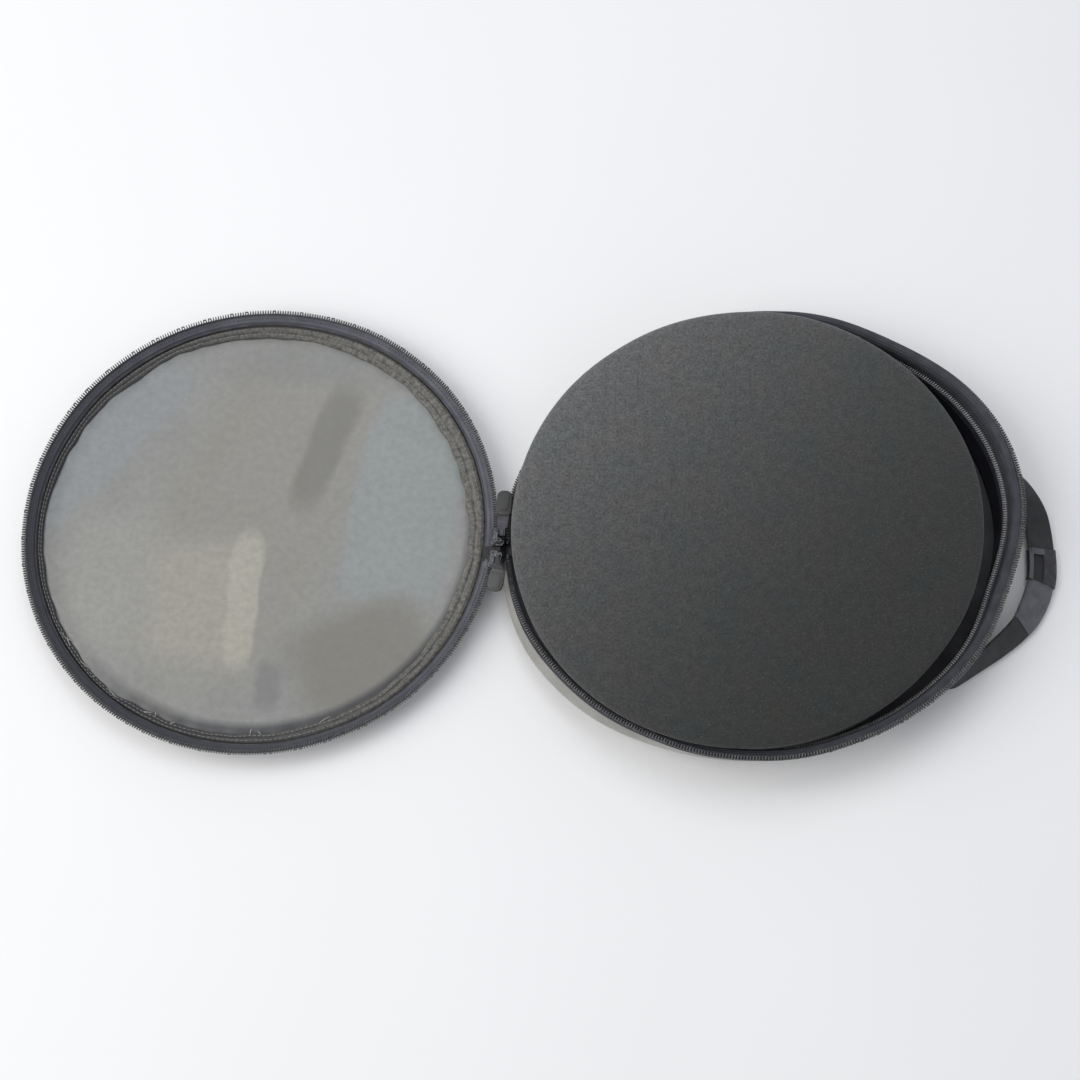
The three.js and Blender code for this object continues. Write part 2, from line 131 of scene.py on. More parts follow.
def sew(name, rows, ring=True, tube=True, planar=False):
    """A mesh through rows of points. ring joins the last row to the first, and tube the last point
    of each row to its first. Its map, called thread, runs in millimetres along and across."""
    grid = np.array(rows, float)
    count, wide = grid.shape[:2]
    ahead = np.linalg.norm(np.roll(grid, -1, 0) - grid, axis=2).mean(1)
    aside = np.linalg.norm(np.roll(grid, -1, 1) - grid, axis=2).mean(0)
    along = np.concatenate([[0], np.cumsum(ahead)])
    across = np.concatenate([[0], np.cumsum(aside)])
    faces, places = [], []
    for i in range(count if ring else count - 1):
        for j in range(wide if tube else wide - 1):
            k, m = (i + 1) % count, (j + 1) % wide
            faces.append((i * wide + j, i * wide + m, k * wide + m, k * wide + j))
            places += [(along[i], across[j]), (along[i], across[j + 1])]
            places += [(along[i + 1], across[j + 1]), (along[i + 1], across[j])]
    if tube and not ring:
        first, last = list(range(wide)), [(count - 1) * wide + j for j in range(wide)]
        faces += [first[::-1], last]
        places += [(0, across[j]) for j in first[::-1]] + [(along[-2], across[j]) for j in range(wide)]
    mesh = bpy.data.meshes.new(name)
    mesh.from_pydata((grid.reshape(-1, 3) * MM).tolist(), [], faces)
    if planar:
        spots = [grid.reshape(-1, 3)[loop.vertex_index] for loop in mesh.loops]
        top = grid[:, :, 2].max()
        places = [(x + map_lean[0] * (z - top), y + map_lean[1] * (z - top)) for x, y, z in spots]
    thread = mesh.uv_layers.new(name="thread")
    thread.data.foreach_set("uv", np.array(places, np.float32).ravel())
    shell = bmesh.new()
    shell.from_mesh(mesh)
    bmesh.ops.remove_doubles(shell, verts=shell.verts, dist=1e-6)
    bmesh.ops.recalc_face_normals(shell, faces=shell.faces)
    shell.to_mesh(mesh)
    shell.free()
    mesh.shade_smooth()
    mesh.set_sharp_from_angle(angle=crease_angle)
    return lay_out(name, mesh)


def layer(line, thick, lips=4):
    """Section of a flat layer: line is its middle, and both its edges are rounded."""
    middle = np.array(line, float)
    ahead = np.gradient(middle, axis=0)
    ahead /= np.linalg.norm(ahead, axis=1)[:, None]
    side = np.stack([-ahead[:, 1], ahead[:, 0]], 1) * thick / 2
    forward = ahead * thick / 2
    turns = [math.pi * (k + 1) / (lips + 1) for k in range(lips)]
    far = [middle[-1] + side[-1] * math.cos(t) + forward[-1] * math.sin(t) for t in turns]
    near = [middle[0] - side[0] * math.cos(t) - forward[0] * math.sin(t) for t in turns]
    return list(middle + side) + far + list((middle - side)[::-1]) + near


def cord_section(radius, height, half, sides=10):
    """Round section of a cord or roll."""
    turns = [2 * math.pi * k / sides for k in range(sides)]
    return [(radius + half * math.cos(t), height + half * math.sin(t)) for t in turns]


def steps(first, last, count):
    return [first + (last - first) * k / (count - 1) for k in range(count)]


def all_round(count):
    """Angles of spokes all the way round, in degrees."""
    return steps(0, 360, count + 1)[:-1]


def put(piece, body, finish, slot, *nodes):
    """Gives a piece its finish and body, and lets it stand for these CAD nodes. Its slot is not used."""
    piece.data.materials.clear()
    piece.data.materials.append(finish)
    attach(piece, body)
    if nodes:
        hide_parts(*nodes)
    return piece


def draw_in(piece):
    """Gives the piece its own copy of its mesh."""
    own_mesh(piece)
    return piece


def sweep(name, point, section, first, last, count):
    """Sews a section all or part of the way round; it gives radius and height, at each angle if
    it varies, and point says where they lie."""
    full = last - first >= 360
    angles = steps(first, last, count + 1)[: count if full else count + 1]
    shape = section if callable(section) else (lambda angle: section)
    return sew(name, [[point(a, r, z) for r, z in shape(a)] for a in angles], ring=full)


def tray_ring(name, section, finish, slot, nodes, first=0.0, last=360.0, count=300, inner=False):
    """A piece that runs round the tray."""
    made = sweep(name, lambda a, r, z: tray_point(a, r, z, inner), section, first, last, count)
    return draw_in(put(made, "base", finish, slot, *nodes))


def fill(tree, node, inputs):
    """Sets a node's inputs; each is a value or the socket that feeds it."""
    for key, value in dict(inputs).items():
        if isinstance(value, bpy.types.NodeSocket):
            tree.links.new(value, node.inputs[key])
        else:
            node.inputs[key].default_value = value


def add_node(tree, kind, inputs=(), **settings):
    made = tree.nodes.new(kind)
    for key, value in settings.items():
        setattr(made, key, value)
    fill(tree, made, inputs)
    return made


def vector_maths(tree, operation, *values):
    return add_node(tree, "ShaderNodeVectorMath", enumerate(values), operation=operation).outputs[0]


def maths(tree, operation, *values):
    return add_node(tree, "ShaderNodeMath", enumerate(values), operation=operation).outputs[0]


def effect(name, inputs, outputs):
    """An empty node group with a thread map, named numbers or places, and masks that come out."""
    tree = bpy.data.node_groups.new(name, "ShaderNodeTree")
    tree.interface.new_socket("Thread map", in_out="INPUT", socket_type="NodeSocketVector")
    for socket, value in inputs.items():
        kind = "NodeSocketFloat" if isinstance(value, float) else "NodeSocketVector"
        tree.interface.new_socket(socket, in_out="INPUT", socket_type=kind).default_value = value
    for socket in outputs:
        tree.interface.new_socket(socket, in_out="OUTPUT", socket_type="NodeSocketFloat")
    return tree, tree.nodes.new("NodeGroupInput").outputs, tree.nodes.new("NodeGroupOutput")


def plain_weave():
    """Over-and-under threads, with a slub that makes some threads thicker."""
    tree, given, out = effect("plain weave", {"Threads per mm": 2.0}, ["Height", "Slub"])
    place = add_node(tree, "ShaderNodeSeparateXYZ", {0: given["Thread map"]}).outputs
    waves = []
    for axis in (0, 1):
        run = maths(tree, "MULTIPLY", place[axis], given["Threads per mm"])
        waves.append(maths(tree, "SINE", maths(tree, "MULTIPLY", run, 2 * math.pi)))
    bumps = maths(tree, "MULTIPLY", waves[0], waves[1])
    long = vector_maths(tree, "MULTIPLY", given["Thread map"], (0.12, 1.6, 1.0))
    slub = add_node(tree, "ShaderNodeTexNoise", {"Vector": long, "Scale": 1.0, "Detail": 2.0})
    tree.links.new(maths(tree, "MULTIPLY_ADD", bumps, 0.5, 0.5), out.inputs["Height"])
    tree.links.new(slub.outputs[0], out.inputs["Slub"])
    return tree


def patches():
    """Soft uneven patches of a given size, from 0 to 1."""
    tree, given, out = effect("soft patches", {"Size in mm": 20.0, "Contrast": 0.25}, ["Patches"])
    scale = maths(tree, "DIVIDE", 1.0, given["Size in mm"])
    cloud = add_node(tree, "ShaderNodeTexNoise",
                     {"Vector": given["Thread map"], "Scale": scale, "Detail": 4.0, "Roughness": 0.55})
    low = maths(tree, "SUBTRACT", 0.5, given["Contrast"])
    high = maths(tree, "ADD", 0.5, given["Contrast"])
    spread = add_node(tree, "ShaderNodeMapRange", {0: cloud.outputs[0], 1: low, 2: high})
    tree.links.new(spread.outputs[0], out.inputs["Patches"])
    return tree


weave_effect, patch_effect = plain_weave(), patches()


def start_finish(name, **values):
    """A new material with its shader values set, and the thread map to build on."""
    made = bpy.data.materials.new(name)
    made.use_nodes = True
    tree = made.node_tree
    shader = tree.nodes["Principled BSDF"]
    for key, value in values.items():
        shader.inputs[key.replace("_", " ")].default_value = value
    thread = add_node(tree, "ShaderNodeUVMap", uv_map="thread").outputs[0]
    return made, tree, shader, thread


def use(tree, group, inputs):
    """Places an effect in a material."""
    made = add_node(tree, "ShaderNodeGroup", node_tree=group)
    fill(tree, made, inputs)
    return made.outputs


def blend_colours(tree, share, first, second):
    mix = add_node(tree, "ShaderNodeMix", data_type="RGBA")
    for socket, value in ((mix.inputs[0], share), (mix.inputs[6], first), (mix.inputs[7], second)):
        if isinstance(value, bpy.types.NodeSocket):
            tree.links.new(value, socket)
        else:
            socket.default_value = value if isinstance(value, float) else (*value, 1.0)
    return mix.outputs[2]


def cloud_of(tree, thread, size, contrast):
    """Patches of one size in a material."""
    inputs = {"Thread map": thread, "Size in mm": size, "Contrast": contrast}
    return use(tree, patch_effect, inputs)["Patches"]


def rough_from(tree, shader, mask, low, high):
    spread = add_node(tree, "ShaderNodeMapRange", {0: mask, 3: low, 4: high})
    tree.links.new(spread.outputs[0], shader.inputs["Roughness"])


def raise_from(tree, shader, height, depth, under=None):
    """Bump from a height mask; depth is in millimetres."""
    bump = add_node(tree, "ShaderNodeBump", {"Height": height, "Distance": depth * MM, "Strength": 1.0})
    if under is not None:
        tree.links.new(under, bump.inputs["Normal"])
    tree.links.new(bump.outputs[0], shader.inputs["Normal"])
    return bump.outputs[0]


def cloth(name, pale, dark, rough=(0.7, 0.9), threads=1.6, depth=0.10, patch=25.0, sheen=0.0,
          ribs=0.0, lit_towards=None):
    """A woven cloth: threads, slubs, and patches of rubbing and fading. A ring of it may carry painted
    light, pale round one angle, and painted shade, dark across from it."""
    made, tree, shader, thread = start_finish(name, Sheen_Weight=sheen, Sheen_Roughness=0.4)
    weave = use(tree, weave_effect, {"Thread map": thread, "Threads per mm": threads})
    cloud = cloud_of(tree, thread, patch, 0.2)
    fade_and_shade = blend_colours(tree, cloud, dark, pale)
    # Painted light and painted shade: the cloth stays pale round the given angle and is blended to the
    # shade colour across from it.
    if lit_towards:
        radius, degrees, shade_colour = lit_towards
        along = add_node(tree, "ShaderNodeSeparateXYZ", {0: thread}).outputs[0]
        turn = maths(tree, "MULTIPLY_ADD", along, 1 / radius, -math.radians(degrees))
        lit_share = maths(tree, "MULTIPLY_ADD", maths(tree, "COSINE", turn), 0.62, 0.5)
        fade_and_shade = blend_colours(tree, lit_share, shade_colour, fade_and_shade)
    shade = maths(tree, "MULTIPLY", weave["Slub"], 0.5)
    colour = blend_colours(tree, shade, fade_and_shade, tuple(0.45 * c for c in dark))
    tree.links.new(colour, shader.inputs["Base Color"])
    rough_from(tree, shader, cloud, rough[1], rough[0])
    fine = raise_from(tree, shader, weave["Height"], depth)
    if ribs:
        across = add_node(tree, "ShaderNodeSeparateXYZ", {0: thread}).outputs[1]
        wave = maths(tree, "SINE", maths(tree, "MULTIPLY", across, 2 * math.pi / ribs))
        raise_from(tree, shader, maths(tree, "MULTIPLY_ADD", wave, 0.5, 0.5), 0.22, fine)
    return made


panel_cloth = cloth("dark panel cloth", (0.050, 0.052, 0.056), (0.030, 0.031, 0.034), patch=40)
cord_cloth = cloth("edge cord cloth", (0.040, 0.042, 0.046), (0.022, 0.023, 0.026), ribs=1.2)
floor_nylon = cloth("tray lining nylon", (0.036, 0.036, 0.042), (0.016, 0.016, 0.021),
                    rough=(0.35, 0.6), threads=2.4, depth=0.04, patch=30)
board_card = cloth("stiffening board", (0.70, 0.68, 0.62), (0.55, 0.53, 0.47), patch=12, depth=0.03)
foam_cells = cloth("open foam", (0.30, 0.30, 0.29), (0.16, 0.16, 0.16), threads=0.9, depth=0.3, patch=3)


def round_plate(name, radius, low, high, finish, slot, nodes, wave=0.0, rings=10):
    """A flat round layer of the tray's floor, with rounded edges."""
    half = (high - low) / 2
    top = [(radius * k / rings, high) for k in range(rings)] + [(radius - half, high)]
    edge = [(radius - half + half * math.cos(t), low + half + half * math.sin(t))
            for t in steps(math.pi / 3, -math.pi / 3, 3)]
    under = [(radius - half, low)] + [(radius * k / rings, low) for k in range(rings - 1, -1, -1)]
    rows = []
    for turn in map(math.radians, all_round(144)):
        row = []
        for r, z in top + edge + under:
            x, y = let_out(r * math.cos(turn), r * math.sin(turn))
            row.append((x, y, z + wave * noise.noise(Vector((x, y, 0)) * 0.03)))
        rows.append(row)
    return draw_in(put(sew(name, rows, tube=False, planar=True), "base", finish, slot, *nodes))


floor_r = span("base_floor_panel", 0)[1]
round_plate("tray_floor_panel", floor_r, *span("base_floor_panel", 2), panel_cloth, "dark_panel",
            ["base_floor_panel"])
lining_low, lining_high = span("base_floor_lining", 2)
floor_lining = round_plate("tray_floor_lining", span("base_floor_lining", 0)[1] + 1.5, lining_low,
                           lining_high, floor_nylon, "lining_nylon", ["base_floor_lining"], wave=0.5)
cord_r = floor_r + 2.3
tray_ring("tray_bottom_cord", cord_section(cord_r, 2.1, 1.9), cord_cloth, "piping",
          ["base_bottom_piping"])


def lay_thread(mesh, lean=0.0):
    """A thread map laid from above, in millimetres; lean moves it along with height."""
    thread = mesh.uv_layers.new(name="thread")
    for loop in mesh.loops:
        x, y, z = mesh.vertices[loop.vertex_index].co
        thread.data[loop.index].uv = ((x + lean * z) / MM, (y + lean * z) / MM)


def refinish(node, finish):
    """A CAD node that stays, in a new material."""
    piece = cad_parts[node]
    lay_thread(piece.data)
    piece.data.materials.clear()
    piece.data.materials.append(finish)


refinish("base_floor_board", board_card)
refinish("base_floor_foam", foam_cells)

# ------------------------------------------------------------------ tray wall
# Smooth coated cloth outside, thin foam, and dark nylon inside, sewn together at the rim. The
# cloth bellies out beside the hinge, where the open lid pulls the rim down.
wall_draft, wall_set = 0.25, 0.5
wall_thick, foam_inset, foam_thick = 1.0, 1.3, 2.4
lining_inset, lining_thick, lining_foot_z = 4.2, 0.7, 9.0
shell_cloth = cloth("pale wall cloth", (0.42, 0.415, 0.385), (0.30, 0.295, 0.27), rough=(0.32, 0.5),
                    threads=2.2, depth=0.035, patch=35, sheen=0.1)
wall_nylon = cloth("dark wall nylon", (0.034, 0.034, 0.044), (0.012, 0.012, 0.017), rough=(0.3, 0.55),
                   threads=2.4, depth=0.04, patch=18)


def wall_outer(height):
    """Radius of the wall's outer face in the round tray."""
    return zip_r - wall_set - wall_draft * (wall_top_z - height)


def wall_layer(inset, thick, low, high, count):
    return layer([(wall_outer(z) - inset - thick / 2, z) for z in steps(low, high, count)], thick)


tray_ring("tray_wall_cloth", wall_layer(0, wall_thick, wall_foot_z - 1.2, wall_top_z, 18), shell_cloth,
          "shell_fabric", ["base_wall_shell"], count=360)
tray_ring("tray_wall_foam", wall_layer(foam_inset, foam_thick, 9.2, wall_top_z - 0.4, 10), foam_cells,
          "foam", ["base_wall_foam"])
lower_top = span("base_lining_lower", 2)[1]
upper_foot = lower_top + 8.6
for side, low, high, count in (("lower", lining_foot_z, lower_top + 0.4, 10),
                               ("upper", upper_foot - 0.4, wall_top_z - 0.3, 6)):
    tray_ring(f"tray_wall_lining_{side}", wall_layer(lining_inset, lining_thick, low, high, count),
              wall_nylon, "wall_lining", [f"base_lining_{side}"], count=360, inner=True)

# ------------------------------------------------------------------ second zip in the tray
# A closed coil chain let into the wall lining, which lets the tray out for a deeper instrument.
# Each coil is one nylon wire wound into loops and sewn to its tape.
wire, pitch = 0.44, 1.8
wire_points, wire_sides = 12, 5
band_half, band_inset, band_thick = 1.5, 4.9, 0.7
chain_z = (lower_top + upper_foot) / 2 + 2.0
tape_cloth = cloth("zip tape", (0.062, 0.066, 0.082), (0.032, 0.034, 0.045), rough=(0.55, 0.8),
                   threads=1.9, depth=0.08, patch=16, ribs=1.5)


def coil_plastic(name, dark, pale):
    """Hard nylon wire, dark, with a shine and small wear on the loops."""
    made, tree, shader, thread = start_finish(name, Coat_Weight=0.35, Coat_Roughness=0.15)
    cloud = cloud_of(tree, thread, 6.0, 0.2)
    tree.links.new(blend_colours(tree, cloud, dark, pale), shader.inputs["Base Color"])
    rough_from(tree, shader, cloud, 0.25, 0.45)
    raise_from(tree, shader, cloud, 0.03)
    return made


coil_finish = coil_plastic("coil nylon", (0.05, 0.05, 0.055), (0.15, 0.15, 0.15))
# A much paler copy of the coil nylon, used for the second zip's coil.
pale_coil_finish = coil_plastic("pale coil nylon", (0.22, 0.22, 0.23), (0.46, 0.46, 0.46))


def wind_coil(name, place, first, last, half_out, half_up):
    """Loops of wire along a rim. place(angle) gives the middle, and the ways out and up. The wire
    steps on to the next loop at the inner end, where the sewing holds it."""
    length = math.radians(last - first) * zip_r
    turns = int(length / pitch)
    total = turns * wire_points
    placed = np.array([place(angle) for angle in steps(first, last, turns + 1)], float)
    turn = 2 * math.pi * np.arange(total + 1) / wire_points
    part = (turn / (2 * math.pi)) % 1.0
    ease = np.clip((part - 0.36) / 0.28, 0, 1)
    spots = np.floor(np.arange(total + 1) / wire_points) + ease * ease * (3 - 2 * ease)

    def spread(knot_values):
        return np.stack([np.interp(spots, np.arange(turns + 1), column) for column in knot_values.T], 1)

    middle, out, up = (spread(placed[:, k]) for k in range(3))
    line = middle + out * (half_out * np.cos(turn))[:, None]
    line += up * (half_up * np.sin(turn))[:, None]
    ahead = np.gradient(line, axis=0)
    ahead /= np.linalg.norm(ahead, axis=1)[:, None]
    run = spread(np.gradient(placed[:, 0], axis=0))
    side = np.cross(ahead, run)
    side /= np.linalg.norm(side, axis=1)[:, None]
    other = np.cross(ahead, side)
    ways = [2 * math.pi * k / wire_sides for k in range(wire_sides)]
    rows = np.stack([line + wire * (side * math.cos(w) + other * math.sin(w)) for w in ways], 1)
    return sew(name, rows, ring=False)


chain_r = wall_outer(chain_z) - band_inset - 1.0


def chain_place(angle):
    """The middle of the second coil, with the ways out and up there."""
    middle = Vector(tray_point(angle, chain_r, chain_z, True))
    beyond = Vector(tray_point(angle, chain_r + 1, chain_z, True))
    return middle, (beyond - middle).normalized(), Vector((0, 0, 1))


for side, low, high in (("lower", lower_top - 0.2, chain_z - band_half),
                        ("upper", chain_z + band_half, upper_foot + 0.2)):
    tray_ring(f"second_zip_tape_{side}", wall_layer(band_inset, band_thick, low, high, 4), tape_cloth,
              "zip_tape", [f"expander_tape_{side}"], inner=True)
chain = wind_coil("second_zip_coil", chain_place, 0, 360, 1.5, 1.7)
draw_in(put(chain, "base", pale_coil_finish, "zip_coil", "expander_coil"))

# ------------------------------------------------------------------ tray rim and its half of the zip
# A folded tape binds the top of the wall. The zip tape is sewn to it and carries the coil, which
# ends in a metal stop each side of the hinge. At the back the slack tape rolls outwards.
stop_degrees = 0.8
tape_thick = 0.8
zip_start = 180 - math.degrees(math.asin((span("hinge_tab_base", 1)[0] - 0.3) / zip_r))
zip_end = 540 - math.degrees(math.asin((span("hinge_tab_base", 1)[1] + 0.3) / zip_r))
roll_out = (66, 40, 42)
rim_cloth = cloth("rim binding tape", (0.064, 0.066, 0.078), (0.032, 0.033, 0.042), rough=(0.55, 0.8),
                  threads=1.3, depth=0.12, patch=14, ribs=2.2)


def metal(name, pale, dark, rough, dents=0.05):
    """Plated zinc, a little worn and finger-marked, with small dents."""
    made, tree, shader, thread = start_finish(name, Metallic=1.0)
    cloud = cloud_of(tree, thread, 2.5, 0.25)
    tree.links.new(blend_colours(tree, cloud, dark, pale), shader.inputs["Base Color"])
    rough_from(tree, shader, cloud, *rough)
    raise_from(tree, shader, cloud, dents)
    return made


stop_metal = metal("stop metal", (0.10, 0.10, 0.105), (0.04, 0.04, 0.042), (0.35, 0.55))


def rolled(angle):
    return hump(angle, *roll_out) ** 0.7


def binding_section(deep=4.5):
    """The tape folded over the wall's top: a short flap outside, and a deep one inside."""
    foot, top = wall_top_z - deep, wall_top_z + 0.9
    out, inn = wall_outer(wall_top_z) + 0.7, wall_outer(wall_top_z) - 5.6
    over = [(out - 0.3 * (1 - k / 3), top - 2.4 + 2.0 * k / 3) for k in range(4)]
    cap = [(out - 0.5, top - 0.3), (out - 1.6, top), ((out + inn) / 2, top + 0.15)]
    cap += [(inn + 1.6, top), (inn + 0.4, top - 0.4)]
    down = [(inn - wall_draft * deep * k / 3, foot + 4.3 * (1 - k / 3)) for k in range(4)]
    return layer(over + cap + down, tape_thick)


def tape_line(angle):
    """The zip tape's middle, from the binding out to under the coil."""
    roll = rolled(angle)
    start = (zip_r - 5.2, wall_top_z + 1.4)
    bend = (zip_r - 1.6, wall_top_z + 2.6 + 3.4 * roll)
    end = (zip_r - 0.6 + 2.4 * roll, tray_coil_z - 1.7 - 3.4 * roll)
    line = []
    for t in steps(0, 1, 9):
        a, b, c = (1 - t) ** 2, 2 * t * (1 - t), t * t
        line.append((a * start[0] + b * bend[0] + c * end[0], a * start[1] + b * bend[1] + c * end[1]))
    return line


def rim_place(angle):
    """Middle of the tray's coil and the ways across it; where the tape rolls, it hangs outside."""
    roll = rolled(angle)
    middle = Vector(tray_point(angle, zip_r - 0.2 * roll, tray_coil_z - 4.4 * roll))
    beyond = Vector(tray_point(angle, zip_r + 1, tray_coil_z))
    level = (beyond - Vector(tray_point(angle, zip_r, tray_coil_z))).normalized()
    tip = 1.3 * roll
    out = level * math.cos(tip) - Vector((0, 0, math.sin(tip)))
    up = level * math.sin(tip) + Vector((0, 0, math.cos(tip)))
    return middle, out, up


tray_ring("tray_rim_binding", binding_section(), rim_cloth, "binding", ["base_rim_binding"], count=360)
tray_ring("tray_zip_tape", lambda angle: layer(tape_line(angle), tape_thick), tape_cloth, "zip_tape",
          ["base_zip_tape"], zip_start, zip_end, count=360)
tray_coil = wind_coil("tray_zip_coil", rim_place, zip_start + 1, zip_end - 1, 1.45, 1.0)
draw_in(put(tray_coil, "base", coil_finish, "zip_coil", "base_zip_coil"))
for letter, at in (("a", zip_start), ("b", zip_end - stop_degrees)):
    tray_ring(f"tray_zip_stop_{letter}", cord_section(zip_r, tray_coil_z, 1.6), stop_metal,
              "zip_metal", [f"base_zip_stop_{letter}"], at, at + stop_degrees, count=5)

# ------------------------------------------------------------------ foam disc
# A thick disc of soft foam in a dark felt cover, which lies on the instrument and fills the tray.
# It is pressed in by hand, so it is not quite round.
disc_low, disc_high = span("pad_bottom_cover", 2)[0], span("pad_top_cover", 2)[1]
disc_wide_z = 42.3
disc_turn = math.radians(39)
disc_shift_x, disc_shift_y, disc_oval = 0.2, 2.0, 4.6
disc_mean = 158.4
disc_corner, disc_crown, disc_clearance = 9, 1.1, 6.3


def disc_reach(angle):
    """Radius of the disc's edge."""
    turn = math.radians(angle)
    wobble = 0.8 * noise.noise(Vector((2.2 * math.cos(turn), 2.2 * math.sin(turn), 3.0)))
    off = turn - disc_turn
    shift = disc_shift_x * math.cos(turn) + disc_shift_y * math.sin(turn)
    return disc_mean + shift + disc_oval * math.cos(2 * off) + wobble


def disc_row(angle, inset=0.0):
    """One spoke of the disc's surface, from the middle of the top to the middle of the underside."""
    turn = math.radians(angle)
    reach = disc_reach(angle) - inset
    row = []
    for share in (0, 0.03, 0.08, 0.15, 0.25, 0.35, 0.45, 0.55, 0.65, 0.75, 0.84, 0.90):
        row.append((reach * share, disc_high - inset - disc_crown * share ** 2))
    corner_tall = disc_high - inset - 1.4 - disc_wide_z
    for t in map(math.radians, steps(80, 0, 7)):
        edge = reach - disc_corner + disc_corner * math.cos(t)
        row.append((edge, disc_wide_z + corner_tall * math.sin(t)))
    for z in steps(disc_wide_z - 2.0, disc_low + 1.5, 7):
        level = min(z, wall_top_z)
        wall = math.hypot(*tray_point(angle, wall_outer(level) - disc_clearance, level)[:2])
        row.append((min(reach - 0.8 - 0.05 * (disc_wide_z - z), wall - inset), z))
    foot = row[-1][0]
    row += [(foot * share, disc_low + inset) for share in (0.97, 0.8, 0.5, 0.2, 0)]
    points = []
    for r, z in row:
        x, y = r * math.cos(turn), r * math.sin(turn)
        if z > disc_wide_z:
            z += (0.55 * noise.noise(Vector((x, y, 0)) * 0.018)
                  + 0.16 * noise.noise(Vector((x, y, 9)) * 0.07))
        points.append((x, y, z))
    return points


def lint():
    """Short pale fibres lying every way on felt."""
    tree, given, out = effect("lint", {}, ["Fibres"])
    found = 0.0
    for turn in (0.3, 1.4, 2.4):
        turned = add_node(tree, "ShaderNodeVectorRotate", {"Vector": given[0], "Angle": turn})
        long = vector_maths(tree, "MULTIPLY", turned.outputs[0], (0.5, 3.0, 1.0))
        speck = add_node(tree, "ShaderNodeTexNoise", {"Vector": long, "Scale": 1.0, "Detail": 1.0})
        ridge = add_node(tree, "ShaderNodeMapRange", {0: speck.outputs[0], 1: 0.66, 2: 0.78}).outputs[0]
        found = maths(tree, "MAXIMUM", found, ridge)
    tree.links.new(found, out.inputs["Fibres"])
    return tree


lint_effect = lint()


def felt(name):
    """Dark needled felt: brown and blue-green mottling, painted light towards the upper left and
    painted shade towards the lower right, pale lint.
    """
    made, tree, shader, thread = start_finish(name, Sheen_Weight=0.25, Sheen_Roughness=0.5)
    broad = cloud_of(tree, thread, 34.0, 0.18)
    small = cloud_of(tree, thread, 6.0, 0.2)
    grain = cloud_of(tree, thread, 1.7, 0.14)
    # Painted light: the felt runs from a dark shaded colour at the lower right to a pale lit one at the
    # upper left, where the lamp is nearer.
    dark = blend_colours(tree, broad, (0.016, 0.023, 0.022), (0.026, 0.022, 0.019))
    pale = blend_colours(tree, broad, (0.160, 0.174, 0.174), (0.190, 0.180, 0.181))
    way = add_node(tree, "ShaderNodeVectorMath", {0: thread, 1: (-0.75 / 320, 0.66 / 320, 0.0)},
                   operation="DOT_PRODUCT").outputs["Value"]
    lit_side_ramp = add_node(tree, "ShaderNodeMapRange", {0: way, 1: -0.5, 2: 0.5}).outputs[0]
    tint = blend_colours(tree, maths(tree, "POWER", lit_side_ramp, 1.9), dark, pale)
    fibres = use(tree, lint_effect, {"Thread map": thread})["Fibres"]
    for mask, share, colour in ((small, 0.30, (0.022, 0.024, 0.024)), (grain, 0.50, (0.014, 0.015, 0.015)),
                                (fibres, 0.55, (0.19, 0.185, 0.165))):
        tint = blend_colours(tree, maths(tree, "MULTIPLY", mask, share), tint, colour)
    tree.links.new(tint, shader.inputs["Base Color"])
    rough_from(tree, shader, small, 0.85, 1.0)
    soft = raise_from(tree, shader, small, 0.25)
    raise_from(tree, shader, grain, 0.22, soft)
    return made


felt_finish = felt("charcoal felt")


def squeeze(piece):
    """Gives the disc its own copy of its mesh."""
    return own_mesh(piece)


cover = sew("foam_disc_cover", [disc_row(a) for a in all_round(240)], tube=False, planar=True)
put(cover, "foam_disc", felt_finish, "felt", "pad_top_cover", "pad_side_band", "pad_bottom_cover")
squeeze(cover)
core = sew("foam_disc_core", [disc_row(a, 2.0) for a in all_round(120)], tube=False, planar=True)
squeeze(put(core, "foam_disc", foam_cells, "pad_foam", "pad_core"))

# ------------------------------------------------------------------ lid shell
# The lid's back is a flat panel of the same pale cloth over a stiff board. A cord runs round its
# edge, and a narrow sloping band of cloth joins it to the rim.
lid_cloth = cloth("pale lid cloth", (0.36, 0.355, 0.33), (0.25, 0.245, 0.225), rough=(0.4, 0.6),
                  threads=2.2, depth=0.04, patch=40, sheen=0.1)
lid_r = (span("lid_panel", 0)[1] - span("lid_panel", 0)[0]) / 2
lid_slack, lid_pull, lid_pull_turn = 0.25, 0.8, math.radians(35)


def lid_point(angle, radius, height):
    """A point of the open lid's edge, which wavers a little and is pulled towards the hinge."""
    turn = math.radians(angle)
    spot = Vector((3.0 * math.cos(turn), 3.0 * math.sin(turn), radius * 0.02))
    radius += 2 * lid_slack * noise.noise(spot) + lid_pull * math.cos(turn - lid_pull_turn)
    height += lid_slack * noise.noise(spot * 1.7)
    return lid_x + radius * math.cos(turn), radius * math.sin(turn), height


def lid_ring(name, section, finish, slot, nodes, first=0.0, last=360.0, count=300):
    """A piece that runs round the lid."""
    return put(sweep(name, lid_point, section, first, last, count), "lid", finish, slot, *nodes)


